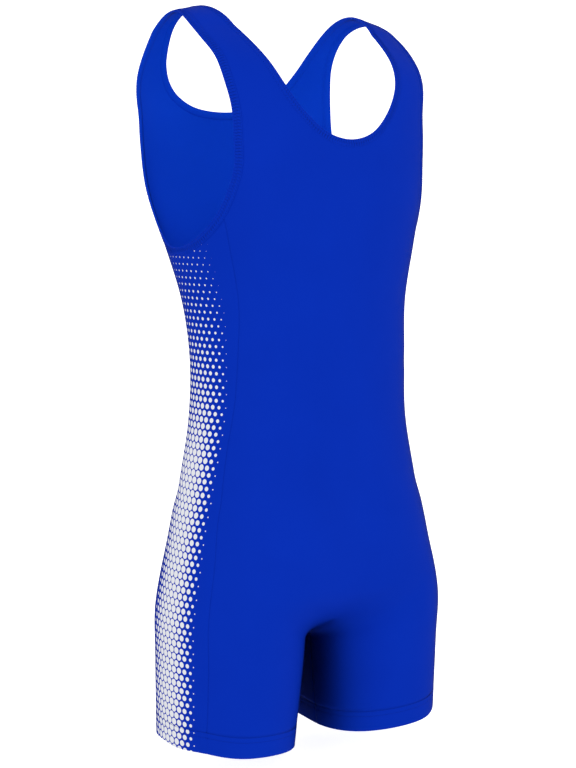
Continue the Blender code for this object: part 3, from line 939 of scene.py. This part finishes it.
@dataclass
class Suit:
    """What all the cloth pieces share: the form, its edges, the creases and the cloth's sizes."""

    form: Form = field(default_factory=Form)
    wall: float = 1.4 * MILLIMETRE
    neck_band: float = 9.5 * MILLIMETRE
    arm_band: float = 10.0 * MILLIMETRE
    leg_band: float = 26.5 * MILLIMETRE
    tuck: float = 0.8 * MILLIMETRE
    groove: float = 0.55 * MILLIMETRE
    groove_width: float = 1.3 * MILLIMETRE
    hem_z: float = -0.860
    hem_tilt: float = 0.095
    hem_centre_x: float = 0.110
    hem_outer_x: float = 0.170
    hem_wave: float = 0.9 * MILLIMETRE
    hem_waves: float = 5.0
    hem_drift: float = 2.0
    trim_steps: int = 4
    waist_z: float = -0.450
    thigh_z: float = -0.720
    chest_z: float = -0.215
    underarm_z: float = -0.262
    back_chest_z: float = -0.190
    profile_z: float = -0.600
    strap_rows: int = 54
    chest_rows: int = 12
    body_rows: int = 84
    leg_rows: int = 26
    columns: int = 40
    side_columns: int = 34
    fine: tuple[float, ...] = (0.0, 0.0006, 0.0012, 0.0020, 0.0032, 0.0052)
    least_span: float = 0.020
    dense: int = 240
    inseam_growth: float = 1.5
    weld: float = 1e-6
    neck: Edge = field(init=False)
    arm: Edge = field(init=False)
    creases: Creases = field(init=False)

    def __post_init__(self) -> None:
        """Lays the neck edge and the left armhole edge on the form."""
        left = np.array(NECK_EDGE)
        right = left[-2:0:-1] * (-1.0, 1.0, 1.0)
        self.neck = Edge(self.form, np.vstack([left, right]))
        self.arm = Edge(self.form, np.array(ARM_EDGE))
        self.creases = Creases(self.form)

    def hem_height(self, x: np.ndarray | float, y: np.ndarray | float) -> np.ndarray:
        """Height of the hem line: lower inside the leg, with a slight wave round it.

        Args:
            x: distance from the middle plane.
            y: place from front to back.

        Returns:
            The heights.
        """
        turn = np.arctan2(np.asarray(y) - self.form.crotch_y, np.abs(x) - self.hem_centre_x)
        wave = self.hem_wave * np.sin(self.hem_waves * turn + self.hem_drift * np.sin(turn))
        return self.hem_z + self.hem_tilt * (np.abs(x) - self.hem_centre_x) + wave

    def trim(self, row: np.ndarray, heights: np.ndarray | float) -> np.ndarray:
        """Puts copies of a row of points at heights above the hem line, on the form.

        Args:
            row: points on the form.
            heights: heights above the hem line, one for each copy.

        Returns:
            The copies, in a row for each height.
        """
        heights = np.asarray(heights, dtype=float)[..., None]
        rows = np.broadcast_to(row, (*heights.shape[:-1], *row.shape)).copy()
        for _ in range(self.trim_steps):
            rows[..., 2] = self.hem_height(rows[..., 0], rows[..., 1]) + heights
            rows = self.form.settle(rows, level=True)
        return rows

    def axis(self, z: np.ndarray) -> tuple[np.ndarray, np.ndarray]:
        """Line that rows turn about: the torso's middle above, easing into the leg's below.

        Args:
            z: heights.

        Returns:
            The line's x and y at each height.
        """
        share = smooth((self.waist_z - z) / (self.waist_z - self.thigh_z))
        front, back = TORSO_PROFILE.at(z, "front", "back")
        leg_x, leg_y = LEG_PROFILE.at(z, "x", "y")
        return share * leg_x, (1.0 - share) * 0.5 * (back - front) + share * leg_y

    def ruled(self, inner: np.ndarray, outer: np.ndarray, shares: np.ndarray,
              facing: float) -> np.ndarray:
        """Rows that run over the form from the inner points to the outer ones.

        Angle, reach and height about the axis go evenly from one end to the other, and the
        points then settle on the form.

        Args:
            inner: each row's first point.
            outer: each row's last point.
            shares: place of each column in each row, from 0 to 1.
            facing: sign of Y that the rows face.

        Returns:
            Grid of points.
        """
        ends = []
        for points in (inner, outer):
            x, y = self.axis(points[:, 2])
            turn = np.arctan2(points[:, 0] - x, facing * (points[:, 1] - y))
            ends.append(np.stack([turn, np.hypot(points[:, 0] - x, points[:, 1] - y), points[:, 2]]))
        turn, reach, z = ends[0][:, :, None] + (ends[1] - ends[0])[:, :, None] * shares[None]
        x, y = self.axis(z)
        start = np.stack([x + reach * np.sin(turn), y + facing * reach * np.cos(turn), z], -1)
        grid = self.form.settle(start)
        grid[:, 0], grid[:, -1] = inner, outer
        return grid

    def shares(self, inner: np.ndarray, outer: np.ndarray, columns: int) -> np.ndarray:
        """Places of the columns in each row: even, with a few close ones at both seams.

        Args:
            inner: each row's first point.
            outer: each row's last point.
            columns: number of even steps.

        Returns:
            The places, from 0 to 1.
        """
        span = np.maximum(np.linalg.norm(outer - inner, axis=1), self.least_span)[:, None]
        close = np.array(self.fine)[None] / span
        even = np.linspace(0.0, 1.0, columns + 1)[None, 1:-1]
        middle = close[:, -1:] + (1.0 - 2.0 * close[:, -1:]) * even
        return np.concatenate([close, middle, 1.0 - close[:, ::-1]], axis=1)

    def seam(self, name: str, heights: np.ndarray) -> np.ndarray:
        """Left side panel seam at the heights, carried out to the form.

        Args:
            name: the seam, front or back.
            heights: heights of its points.

        Returns:
            The points on the form.
        """
        inside = np.stack([0.0 * heights, *SEAM_PROFILE.at(heights, name), heights], -1)
        inside[:, 0] = np.where(heights < self.form.seat_z, self.hem_centre_x, 0.0)
        return self.form.cast(inside, np.array([1.0, 0.0, 0.0]))

    def centre_line(self, facing: float, top: float) -> np.ndarray:
        """Line down the middle of the front or back to the crotch.

        Args:
            facing: sign of Y that the line faces.
            top: height of its first point.

        Returns:
            Close points of the line.
        """
        heights = np.linspace(top, self.profile_z, self.dense)
        start = np.stack([0.0 * heights, 0.0 * heights + self.form.crotch_y, heights], -1)
        upper = self.form.cast(start, np.array([0.0, facing, 0.0]))
        turn = np.linspace(0.0, 0.5 * np.pi, self.dense)[1:]
        ways = np.stack([0.0 * turn, facing * np.cos(turn), -np.sin(turn)], -1)
        centre = np.broadcast_to((0.0, self.form.crotch_y, self.profile_z), ways.shape)
        return np.vstack([upper, self.form.cast(centre, ways)])

    def inseam(self, crotch: np.ndarray, bottom: float) -> np.ndarray:
        """Inner leg line from the crotch down to the height bottom.

        Args:
            crotch: the line's first point.
            bottom: height of its last point.

        Returns:
            Close points of the line.
        """
        share = np.linspace(0.0, 1.0, self.dense)[1:] ** self.inseam_growth
        heights = crotch[2] + (bottom - crotch[2]) * share
        start = np.stack([0.0 * heights + self.hem_centre_x, 0.0 * heights + self.form.crotch_y,
                          heights], -1)
        ahead = np.array([-1.0, 0.0, 0.0])
        return np.vstack([crotch, self.form.cast(start, ahead, self.hem_centre_x)])

    def armhole_places(self) -> tuple[float, float, float, float]:
        """Runs along the armhole: chest level, both side seams and shoulder-blade level.

        Returns:
            The four runs, from the shoulder down the front and round.
        """
        inner = self.arm.at(self.arm.runs[:-1], self.arm_band)
        runs = self.arm.runs[:-1]
        front = slice(0, int(np.argmin(inner[:, 2])))
        back = slice(front.stop, len(inner))
        found = []
        for part, name in ((front, "front"), (back, "back")):
            low = inner[part, 2] < self.chest_z
            off = (inner[part, 1] - SEAM_PROFILE.at(inner[part, 2], name)[0])[low]
            found.append(float(np.interp(0.0, off, runs[part][low])))
        chest = float(np.interp(self.chest_z, inner[front, 2][::-1], runs[front][::-1]))
        blade = float(np.interp(self.back_chest_z, inner[back, 2], runs[back]))
        return chest, found[0], found[1], blade

    def wall_piece(self, name: str, grid: np.ndarray, over: np.ndarray, cloth: np.ndarray,
                   materials: list, both: bool) -> bpy.types.Object:
        """A cloth wall from a grid on the form: outer and inner points with a rim between them.

        Args:
            name: the piece's name.
            grid: points on the form.
            over: how far the outer points stand off the form.
            cloth: across and along the cloth at each point.
            materials: outer and inner material.
            both: whether the grid's mirror image is joined on, for a panel that crosses the middle.

        Returns:
            The piece.
        """
        points, over = grid.reshape(-1, 3), over.ravel()
        faces, cloth = quads(*grid.shape[:2]).reshape(-1, 4), cloth.reshape(-1, 2)
        if both:
            image = points * (-1.0, 1.0, 1.0)
            over = np.concatenate([over, over])
            cloth = np.vstack([cloth, cloth * (-1.0, 1.0)])
            faces = np.vstack([faces, faces[:, ::-1] + len(points)])
            points = np.vstack([points, image])
            keys = np.round(points / self.weld).astype(np.int64)
            _, first, same = np.unique(keys, axis=0, return_index=True, return_inverse=True)
            points, over, cloth = points[first], over[first], cloth[first]
            faces = same.reshape(-1)[faces]
        corners = points[faces]
        facing = np.cross(corners[:, 2] - corners[:, 0], corners[:, 3] - corners[:, 1])
        away = self.form.normals(points)
        turned = (facing * away[faces].mean(axis=1)).sum(-1) < 0.0
        faces = np.where(turned[:, None], faces[:, ::-1], faces)
        relief = over + self.creases.relief(points)
        outer = points + away * relief[:, None]
        inner = points + away * (relief - self.wall)[:, None]
        count = len(points)
        sides = np.stack([faces, np.roll(faces, -1, axis=1)], -1).reshape(-1, 2)
        used = {tuple(side) for side in sides.tolist()}
        rim = np.array([(b, a, a + count, b + count) for a, b in sides.tolist() if (b, a) not in used])
        shell = np.vstack([faces, faces[:, ::-1] + count, rim])
        slots = np.concatenate([0 * faces[:, 0], 1 + 0 * faces[:, 0], 0 * rim[:, 0]])
        return make_piece(name, np.vstack([outer, inner]), shell.tolist(), materials,
                          np.vstack([cloth, cloth]), slots)

    def finish_piece(self, item: bpy.types.Object, node: str, slot: str, cut: Cut) -> None:
        """Sets a cloth piece on the body, in place of its node, and logs its faces and area.

        Args:
            item: the piece.
            node: the node that it stands for.
            slot: its material slot; not used.
            cut: its flat cut; not used.
        """
        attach(item, BODY)
        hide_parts(node)
        area = sum(polygon.area for polygon in item.data.polygons)
        LOG.info("%s: %d faces, both sides %.4f square metres", item.name, len(item.data.polygons), area)


@dataclass
class MainPanels:
    """The front and the back, each cut in one with its halves of the legs, and the side panels."""

    suit: Suit
    knit: bpy.types.Material
    inside: bpy.types.Material
    printed: bpy.types.Material
    front_cut: Cut = Cut(0.49, 0.84, 0.215)
    back_cut: Cut = Cut(0.50, 0.86, 0.222)
    side_cut: Cut = Cut(0.115, 0.58, 0.0600)
    strap_run: float = 0.160
    side_top_fade: float = 0.090
    row_growth: float = 1.3

    def seam_drop(self, distance: np.ndarray) -> np.ndarray:
        """Depth of a seam's groove at a distance from it: a bell curve."""
        return -self.suit.groove * np.exp(-((distance / self.suit.groove_width) ** 2))

    def half(self, facing: Facing, neck_runs: np.ndarray, arm_runs: np.ndarray) -> np.ndarray:
        """Left half of a main panel, as rows from the middle line to the side seam.

        Args:
            facing: whether it is the front or the back.
            neck_runs: runs of its rows along the neck edge.
            arm_runs: runs of its rows along the armhole edge.

        Returns:
            Grid of points on the form.
        """
        suit = self.suit
        form = suit.form
        neck_side = suit.neck.at(neck_runs, suit.neck_band - suit.tuck)
        neck_side[-1, 0] = 0.0
        line = suit.centre_line(facing.value, neck_side[-1, 2])
        line[0] = neck_side[-1]
        down = lengths(line)
        chest_end = np.interp(-suit.underarm_z, -line[:suit.dense, 2], down[:suit.dense])
        chest = along(line, np.linspace(0.0, chest_end, suit.chest_rows + 1))[1:]
        body = along(line, np.linspace(chest_end, down[-1], suit.body_rows + 1))[1:]
        bottom = suit.hem_height(0.0, form.crotch_y) + suit.leg_band - suit.tuck
        leg_line = suit.inseam(body[-1], float(bottom))
        leg_runs = lengths(leg_line)[-1] * np.linspace(0.0, 1.0, suit.leg_rows + 1) ** self.row_growth
        leg = along(leg_line, leg_runs)[1:]
        middle = form.settle(np.vstack([chest, body, leg]))
        middle[:suit.chest_rows + suit.body_rows, 0] = 0.0
        inner = np.vstack([neck_side, middle])
        arm_side = suit.arm.at(arm_runs, suit.arm_band - suit.tuck)
        crotch_z = body[-1, 2]
        body_z = np.linspace(arm_side[-1, 2], crotch_z, suit.body_rows + 1)[1:]
        side_bottom = float(suit.hem_height(suit.hem_outer_x, form.crotch_y)) + suit.leg_band - suit.tuck
        leg_z = np.linspace(crotch_z, side_bottom, suit.leg_rows + 1)[1:]
        side = suit.seam(facing.name.lower(), np.concatenate([body_z, leg_z]))
        outer = np.vstack([arm_side, side])
        shares = suit.shares(inner, outer, suit.columns)
        grid = suit.ruled(inner, outer, shares, facing.value)
        grid[-1] = suit.trim(grid[-1], suit.leg_band - suit.tuck)
        return grid

    def side(self, arm_runs: np.ndarray, front: np.ndarray, back: np.ndarray) -> np.ndarray:
        """Left side panel, between the seam rows of the front and the back.

        Args:
            arm_runs: runs of both seams along the armhole edge.
            front: the front's grid.
            back: the back's grid.

        Returns:
            Grid of points on the form.
        """
        suit = self.suit
        start = suit.strap_rows + suit.chest_rows
        first, last = front[start:, -1].copy(), back[start:, -1].copy()
        shares = suit.shares(first, last, suit.side_columns)
        top_runs = arm_runs[0] + (arm_runs[-1] - arm_runs[0]) * shares[0]
        top = suit.arm.at(top_runs, suit.arm_band - suit.tuck)
        first[0], last[0] = top[0], top[-1]
        grid = suit.ruled(first, last, shares, -1.0)
        fall = np.clip((grid[:, :1, 2] - grid[0, 0, 2]) / -self.side_top_fade, 0.0, 1.0)
        sag = (top - grid[0])[None] * (1.0 - fall[..., None]) ** 2
        grid = suit.form.settle(grid + sag)
        grid[0], grid[:, 0], grid[:, -1] = top, first, last
        grid[-1] = suit.trim(grid[-1], suit.leg_band - suit.tuck)
        return grid

    def runs_across(self, grid: np.ndarray) -> np.ndarray:
        """Run along each row from its first column."""
        steps = np.linalg.norm(np.diff(grid, axis=1), axis=-1)
        return np.concatenate([np.zeros((len(grid), 1)), np.cumsum(steps, axis=1)], axis=1)

    def runs_down(self, grid: np.ndarray) -> np.ndarray:
        """Run down the grid's middle column, as one value for each row."""
        return np.broadcast_to(-lengths(grid[:, grid.shape[1] // 2])[:, None], grid.shape[:2])

    def build(self) -> tuple[np.ndarray, np.ndarray, np.ndarray]:
        """Builds the front, the back and both side panels.

        Returns:
            The grids of the front, the side and the back, for the pieces that follow their edges.
        """
        suit = self.suit
        half_loop = len(suit.neck.loop) // 2
        ridge = suit.neck.runs[int(np.argmax(suit.neck.loop[:half_loop, 2]))]
        middle_back = suit.neck.runs[(len(NECK_EDGE) - 1) * suit.neck.steps]
        chest, front_seam, back_seam, blade = suit.armhole_places()
        end = suit.arm.length
        close = np.array(suit.fine)
        share = close / self.strap_run
        share = np.concatenate([share, np.linspace(share[-1], 1.0, suit.strap_rows + 2 - len(close))[1:]])
        neck_front = ridge * (1.0 - share)
        neck_back = ridge + (middle_back - ridge) * share
        even = np.linspace(0.0, 1.0, suit.chest_rows + 1)[1:]
        arm_front = np.concatenate([chest * share, chest + (front_seam - chest) * even])
        arm_back = np.concatenate([end + (blade - end) * share, blade + (back_seam - blade) * even])
        front = self.half(Facing.FRONT, neck_front, arm_front)
        back = self.half(Facing.BACK, neck_back, arm_back)
        side = self.side(np.array([front_seam, back_seam]), front, back)
        crotch_row = suit.strap_rows + suit.chest_rows + suit.body_rows
        for name, grid, cut in (("front", front, self.front_cut), ("back", back, self.back_cut)):
            across = self.runs_across(grid)
            over = self.seam_drop(across[:, -1:] - across)
            over[crotch_row:] += self.seam_drop(across[crotch_row:])
            over[:len(close)] += self.seam_drop(close[:, None])
            cloth = np.stack([across, self.runs_down(grid)], -1)
            item = suit.wall_piece(name + "_panel", grid, over, cloth, [self.knit, self.inside], True)
            suit.finish_piece(item, name, "panel_knit", cut)
        across = self.runs_across(side)
        over = self.seam_drop(across) + self.seam_drop(across[:, -1:] - across)
        cloth = np.stack([across - 0.5 * across[:, -1:], side[..., 2]], -1)
        for hand in Side:
            grid = side * (hand.value, 1.0, 1.0)
            name = "side_panel_" + hand.name.lower()
            item = suit.wall_piece(name + "_cloth", grid, over, cloth, [self.printed, self.inside], False)
            suit.finish_piece(item, name, "side_knit", self.side_cut)
        return front, side, back


def turned_fold(proud: float, back_wall: float) -> tuple[float, np.ndarray]:
    """Half circle round the fold of a turned edge, from the outer face to the inner one.

    Args:
        proud: how far the outer face stands over the form.
        back_wall: how far the inner face lies under it.

    Returns:
        The half circle's radius, and its points between both ends: distance and height.
    """
    radius = 0.5 * (proud + back_wall)
    turn = np.linspace(0.0, np.pi, FOLD_STEPS + 1)[1:-1]
    height = 0.5 * (proud - back_wall) + radius * np.cos(turn)
    return radius, np.stack([radius * (1.0 - np.sin(turn)), height], -1)


@dataclass
class EdgeBands:
    """Turned edges round the neck and the armholes: a rounded fold with a cover stitch on it."""

    suit: Suit
    knit: bpy.types.Material
    inside: bpy.types.Material
    sewing: Sewing
    proud: float = 0.45 * MILLIMETRE
    back_wall: float = 1.9 * MILLIMETRE
    samples: int = 6
    pucker: float = 0.34 * MILLIMETRE
    stitch: float = 2.6 * MILLIMETRE
    stitch_gap: float = 0.5 * MILLIMETRE
    rung: float = 3.4 * MILLIMETRE
    outer_row: float = 1.6 * MILLIMETRE
    inner_row: float = 1.3 * MILLIMETRE
    ladder_under: float = 0.05 * MILLIMETRE
    line_points: int = 1200
    lip_under: float = 0.3 * MILLIMETRE
    lip_runs: tuple[float, float] = (0.1 * MILLIMETRE, 0.5 * MILLIMETRE)
    lip_share: float = 0.6
    outside_shares: tuple[float, ...] = (0.82, 0.62, 0.40)
    inside_lip: float = 0.4 * MILLIMETRE
    inside_share: float = 0.5
    neck_cut: Cut = Cut(0.0100, 1.05, 0.0103)
    arm_cut: Cut = Cut(0.010, 0.81, 0.0080)

    def profile(self, width: float) -> np.ndarray:
        """Section of a turned edge: distance into the cloth and height over the form.

        It goes from the lip on the panel over the outside to the opening, round the fold, and
        back inside.

        Args:
            width: the edge's width.

        Returns:
            The section's points.
        """
        proud, under = self.proud, -self.back_wall
        fold, around = turned_fold(proud, self.back_wall)
        lip, shoulder = self.lip_runs
        outside = [(width, -self.lip_under), (width - lip, self.lip_share * proud),
                   (width - shoulder, proud), *((share * width, proud) for share in self.outside_shares),
                   (fold, proud)]
        inside = [(fold, under), (self.inside_share * width, under), (width - self.inside_lip, under),
                  (width, under + self.lip_under)]
        return np.vstack([outside, around, inside])

    def band(self, name: str, edge: Edge, width: float, hand: Side, cut: Cut, node: str) -> None:
        """Builds one turned edge: its section carried round the edge, drawn in at each stitch.

        Args:
            name: the piece's name.
            edge: the edge that it follows.
            width: its width.
            hand: the side that it goes to.
            cut: its flat cut.
            node: the node that it stands for.
        """
        suit = self.suit
        rungs = round(edge.length / self.rung)
        count = self.samples * rungs
        places = np.arange(count) * edge.length / count
        section = self.profile(width)
        rows = edge.rows(places, section[:, 0])
        away = suit.form.normals(rows)
        drawn = 0.5 + 0.5 * np.cos(2.0 * np.pi * places * rungs / edge.length)
        outside = np.clip(section[:, 1] / self.proud, 0.0, 1.0)
        height = section[:, 1][:, None] - self.pucker * outside[:, None] * drawn[None]
        relief = suit.creases.relief(rows)
        points = (rows + away * (height + relief)[..., None]) * (hand.value, 1.0, 1.0)
        faces = quads(len(section), count, round_rows=True, round_columns=True)
        slots = np.zeros(faces.shape[:2], dtype=int)
        slots[int(np.argmin(section[:, 0])) + 1:] = 1
        flat = points.reshape(-1, 3)
        ups = (away * (hand.value, 1.0, 1.0)).reshape(-1, 3)
        faces = faced(faces.reshape(-1, 4), flat, ups, PROBE_ROW * count)
        cloth = np.stack(np.broadcast_arrays(lengths(section)[:, None], places[None]), -1)
        item = make_piece(name, flat, faces.tolist(), [self.knit, self.inside], cloth.reshape(-1, 2),
                          slots.ravel())
        suit.finish_piece(item, node, "edge_knit", cut)

    def sew(self, name: str, edge: Edge, width: float, hand: Side) -> None:
        """Sews two needle rows along an edge, with the cover thread crossing between them.

        Args:
            name: the stitching's name.
            edge: the edge that it follows.
            width: the turned edge's width.
            hand: the side that it goes to.
        """
        places = np.linspace(0.0, edge.length, self.line_points, endpoint=False)
        first = edge.at(places, self.outer_row)
        second = edge.at(places, width - self.inner_row)
        rise = self.proud - 0.5 * self.pucker
        groups = [self.sewing.row(first, self.stitch, self.stitch_gap, rise),
                  self.sewing.row(second, self.stitch, self.stitch_gap, rise),
                  self.sewing.ladder(first, second, self.rung, rise - self.ladder_under)]
        self.sewing.piece(name, groups, "edge_knit", hand)

    def build(self) -> None:
        """Builds and sews the neck edge and both armhole edges."""
        suit = self.suit
        self.band("neck_edge", suit.neck, suit.neck_band, Side.LEFT, self.neck_cut, "neck_band")
        self.sew("neck_stitching", suit.neck, suit.neck_band, Side.LEFT)
        for hand in Side:
            side = hand.name.lower()
            self.band("armhole_edge_" + side, suit.arm, suit.arm_band, hand, self.arm_cut,
                      "armhole_band_" + side)
            self.sew("armhole_stitching_" + side, suit.arm, suit.arm_band, hand)


@dataclass
class LegHems:
    """Turned hems of the legs: smooth outside, with two needle rows near the turned-up edge."""

    suit: Suit
    printed: bpy.types.Material
    inside: bpy.types.Material
    sewing: Sewing
    proud: float = 0.15 * MILLIMETRE
    back_wall: float = 2.0 * MILLIMETRE
    upper_row: float = 25.5 * MILLIMETRE
    lower_row: float = 19.5 * MILLIMETRE
    row_dip: float = 0.25 * MILLIMETRE
    dip_width: float = 0.8 * MILLIMETRE
    lip: float = 0.3 * MILLIMETRE
    lip_run: float = 0.9 * MILLIMETRE
    outside_points: int = 34
    inside_share: float = 0.5
    stitch: float = 2.8 * MILLIMETRE
    stitch_gap: float = 0.55 * MILLIMETRE
    cut: Cut = Cut(0.0265, 0.49, 0.0129)

    def profile(self) -> np.ndarray:
        """Section of the hem: height above the hem line and offset from the form.

        It goes from the top down the outside, round the fold at the bottom, and up the inside.
        The outside sinks along both needle rows.

        Returns:
            The section's points.
        """
        top = self.suit.leg_band
        fold, around = turned_fold(self.proud, self.back_wall)
        face = np.linspace(top - self.lip_run, fold, self.outside_points)
        heights = np.concatenate([[top, top - self.lip], face])
        offset = np.full(len(heights), self.proud)
        for row in (self.upper_row, self.lower_row):
            offset -= self.row_dip * np.exp(-(((heights - row) / self.dip_width) ** 2))
        offset[0] = -self.lip
        inside = [(height, -self.back_wall) for height in (fold, self.inside_share * top, top)]
        return np.vstack([np.stack([heights, offset], -1), around, inside])

    def build(self, front: np.ndarray, side: np.ndarray, back: np.ndarray) -> None:
        """Builds and sews both hems on the panels' bottom rows.

        Args:
            front: the front's grid.
            side: the side panel's grid.
            back: the back's grid.
        """
        suit = self.suit
        loop = np.vstack([front[-1], side[-1, 1:-1], back[-1, ::-1][:-1]])
        first, last = len(front[-1]) - 1, len(front[-1]) + side.shape[1] - 2
        section = self.profile()
        rows = suit.trim(loop, section[:, 0])
        away = suit.form.normals(rows)
        closed = np.concatenate([rows, rows[:, :1]], axis=1)
        steps = np.linalg.norm(np.diff(closed, axis=1), axis=-1)
        runs = np.concatenate([np.zeros((len(rows), 1)), np.cumsum(steps, axis=1)], axis=1)[:, :-1]
        across = runs - 0.5 * (runs[:, first] + runs[:, last])[:, None]
        drop = np.zeros(rows.shape[:2])
        for column in (0, first, last):
            gap = np.abs(runs - runs[:, column:column + 1])
            gap = np.minimum(gap, runs[:, -1:] - gap)
            drop -= suit.groove * np.exp(-((gap / suit.groove_width) ** 2))
        inner = section[:, 1] < -0.5 * self.back_wall
        height = section[:, 1][:, None] + np.where(inner[:, None], 0.0, drop)
        points = (rows + away * height[..., None]).reshape(-1, 3)
        faces = quads(len(section), len(loop), round_rows=True, round_columns=True)
        slots = np.ones(faces.shape[:2], dtype=int)
        slots[:int(np.argmax(inner)) - 1] = 0
        faces = faced(faces.reshape(-1, 4), points, away.reshape(-1, 3), PROBE_ROW * len(loop))
        cloth = np.stack([across, rows[..., 2]], -1).reshape(-1, 2)
        seams = suit.trim(loop, (self.upper_row, self.lower_row))
        rise = self.proud - self.row_dip
        groups = [self.sewing.row(row, self.stitch, self.stitch_gap, rise) for row in seams]
        for hand in Side:
            side_name = hand.name.lower()
            placed = points * (hand.value, 1.0, 1.0)
            turned = faces[:, ::int(hand.value)].tolist()
            item = make_piece("leg_hem_" + side_name, placed, turned, [self.printed, self.inside],
                              cloth, slots.ravel())
            suit.finish_piece(item, "leg_band_" + side_name, "hem_knit", self.cut)
            self.sewing.piece("hem_stitching_" + side_name, groups, "hem_knit", hand)


@dataclass
class Studio:
    """Pale paper floor with a round sweep behind, soft lights and the camera at the photo's angle."""

    paper: bpy.types.Material
    felt: bpy.types.Material
    floor_z: float = -0.900
    floor_radius: float = 3.0
    sweep_radius: float = 1.6
    wall_height: float = 5.0
    rings: int = 20
    ring_growth: float = 1.5
    spokes: int = 96
    eye: tuple[float, float, float] = (-1.1357, -1.6619, -0.221)
    aim: tuple[float, float, float] = (0.0, -0.040, -0.441)
    frame_width: float = 576.0
    frame_height: float = 768.0
    focal_pixels: float = 1640.0
    centre_column: float = 294.2
    sensor: float = 36.0
    air: float = 0.81
    flag_y: tuple[float, float] = (-0.122, 0.085)
    flag_z: tuple[float, float] = (-0.895, -0.715)
    key: tuple[float, float, float, float, float] = (-35.0, 18.0, 2.4, 1.3, 7.5)
    fill: tuple[float, float, float, float, float] = (35.0, 8.0, 2.4, 1.0, 2.0)

    def floor(self) -> None:
        """Lays the paper: a round floor that turns up in a quarter circle to a wall.

        Its section runs out along the floor, round the quarter circle and up the wall, and is
        turned round the suit. It is seen by the camera alone, as a paper lit by lamps of its own.
        """
        flat = self.floor_radius * np.linspace(0.0, 1.0, self.rings + 1)[1:] ** self.ring_growth
        turn = np.linspace(0.0, 0.5 * np.pi, self.rings)[1:]
        reach = np.concatenate([flat, self.floor_radius + self.sweep_radius * np.sin(turn)])
        rise = np.concatenate([0.0 * flat, self.sweep_radius * (1.0 - np.cos(turn))])
        reach = np.append(reach, reach[-1])
        rise = np.append(rise, self.wall_height)
        spin = np.linspace(0.0, 2.0 * math.pi, self.spokes, endpoint=False)
        points = np.stack([np.outer(reach, np.cos(spin)), np.outer(reach, np.sin(spin)),
                           np.repeat(rise[:, None] + self.floor_z, self.spokes, axis=1)], -1)
        faces = quads(len(reach), self.spokes, round_columns=True).reshape(-1, 4)[:, ::-1].tolist()
        mesh = bpy.data.meshes.new("paper_sweep")
        mesh.from_pydata(points.reshape(-1, 3).tolist(), [], [*faces, list(range(self.spokes))])
        mesh.materials.append(self.paper)
        mesh.shade_smooth()
        item = link_object("paper_sweep", mesh)
        item.visible_diffuse = False
        item.visible_glossy = False
        item.visible_shadow = False

    def flag(self) -> None:
        """Stands a black card between the legs, unseen itself, which keeps light out of the gap."""
        (front, back), (low, high) = self.flag_y, self.flag_z
        mesh = bpy.data.meshes.new("black_flag")
        card = [(0.0, front, low), (0.0, back, low), (0.0, back, high), (0.0, front, high)]
        mesh.from_pydata(card, [], [(0, 1, 2, 3)])
        mesh.materials.append(self.felt)
        item = link_object("black_flag", mesh)
        item.visible_camera = False

    def light(self, name: str, azimuth: float, height: float, away: float, size: float,
              power: float) -> None:
        """Hangs a square soft light that looks at the suit's middle.

        Args:
            name: the light's name.
            azimuth: degrees round from the front, positive towards the wearer's left.
            height: degrees up from level.
            away: distance in metres.
            size: side of the square in metres.
            power: watts.
        """
        lamp = bpy.data.lights.new(name, "AREA")
        lamp.energy = power
        lamp.size = size
        turn, up = math.radians(azimuth), math.radians(height)
        spot = (self.aim[0] + away * math.cos(up) * math.sin(turn),
                self.aim[1] - away * math.cos(up) * math.cos(turn),
                self.aim[2] + away * math.sin(up))
        self.look(link_object(name, lamp), spot)

    def look(self, item: bpy.types.Object, spot: tuple[float, float, float]) -> None:
        """Stands an object at the spot and turns it to look at the aim, with its top upwards.

        Args:
            item: the object.
            spot: where it stands.
        """
        dx, dy, dz = (to - start for to, start in zip(self.aim, spot))
        item.location = spot
        item.rotation_euler = (math.atan2(math.hypot(dx, dy), -dz), 0.0, math.atan2(-dx, dy))

    def build(self) -> None:
        """Lays the paper, hangs the lights and sets the camera."""
        self.floor()
        self.flag()
        world = bpy.data.worlds.new("soft_air")
        world.use_nodes = True
        backdrop = world.node_tree.nodes["Background"]
        backdrop.inputs["Color"].default_value = (1.0, 1.0, 1.0, 1.0)
        backdrop.inputs["Strength"].default_value = self.air
        bpy.context.scene.world = world
        self.light("key_softbox", *self.key)
        self.light("fill_softbox", *self.fill)
        lens = bpy.data.cameras.new("photo_camera")
        lens.sensor_width = self.sensor
        lens.lens = self.focal_pixels * self.sensor / self.frame_height
        lens.shift_x = (0.5 * self.frame_width - self.centre_column) / self.frame_height
        camera = link_object("photo_camera", lens)
        self.look(camera, self.eye)
        bpy.context.scene.camera = camera
        bpy.context.scene.view_settings.view_transform = "Standard"


def main() -> None:
    """Loads the frame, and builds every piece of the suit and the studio."""
    logging.basicConfig(level=logging.INFO, format="%(name)s %(relativeCreated).0f ms: %(message)s")
    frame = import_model()
    LOG.info("frame nodes: %s", ", ".join(sorted(frame["nodes"])))
    knit = StretchKnit("royal_blue_warp_knit").material()
    printed = StretchKnit("dot_printed_warp_knit", pattern=DotPrint()).material()
    # Painted light: the inside is coloured lighter than the outside, to make up for the shade inside the
    # suit
    inside = StretchKnit("warp_knit_inside_painted_lighter", colour="#0c4be0", deep="#0a46d6").material()
    edge = StretchKnit("turned_edge_warp_knit", colour="#0834c1", deep="#0730b7").material()
    suit = Suit()
    sewing = Sewing(suit.form, SewingThread().material())
    front, side, back = MainPanels(suit, knit, inside, printed).build()
    EdgeBands(suit, edge, inside, sewing).build()
    LegHems(suit, printed, inside, sewing).build(front, side, back)
    Studio(StudioPaper().material(), BlackFelt().material()).build()


if __name__ == "__main__":
    main()
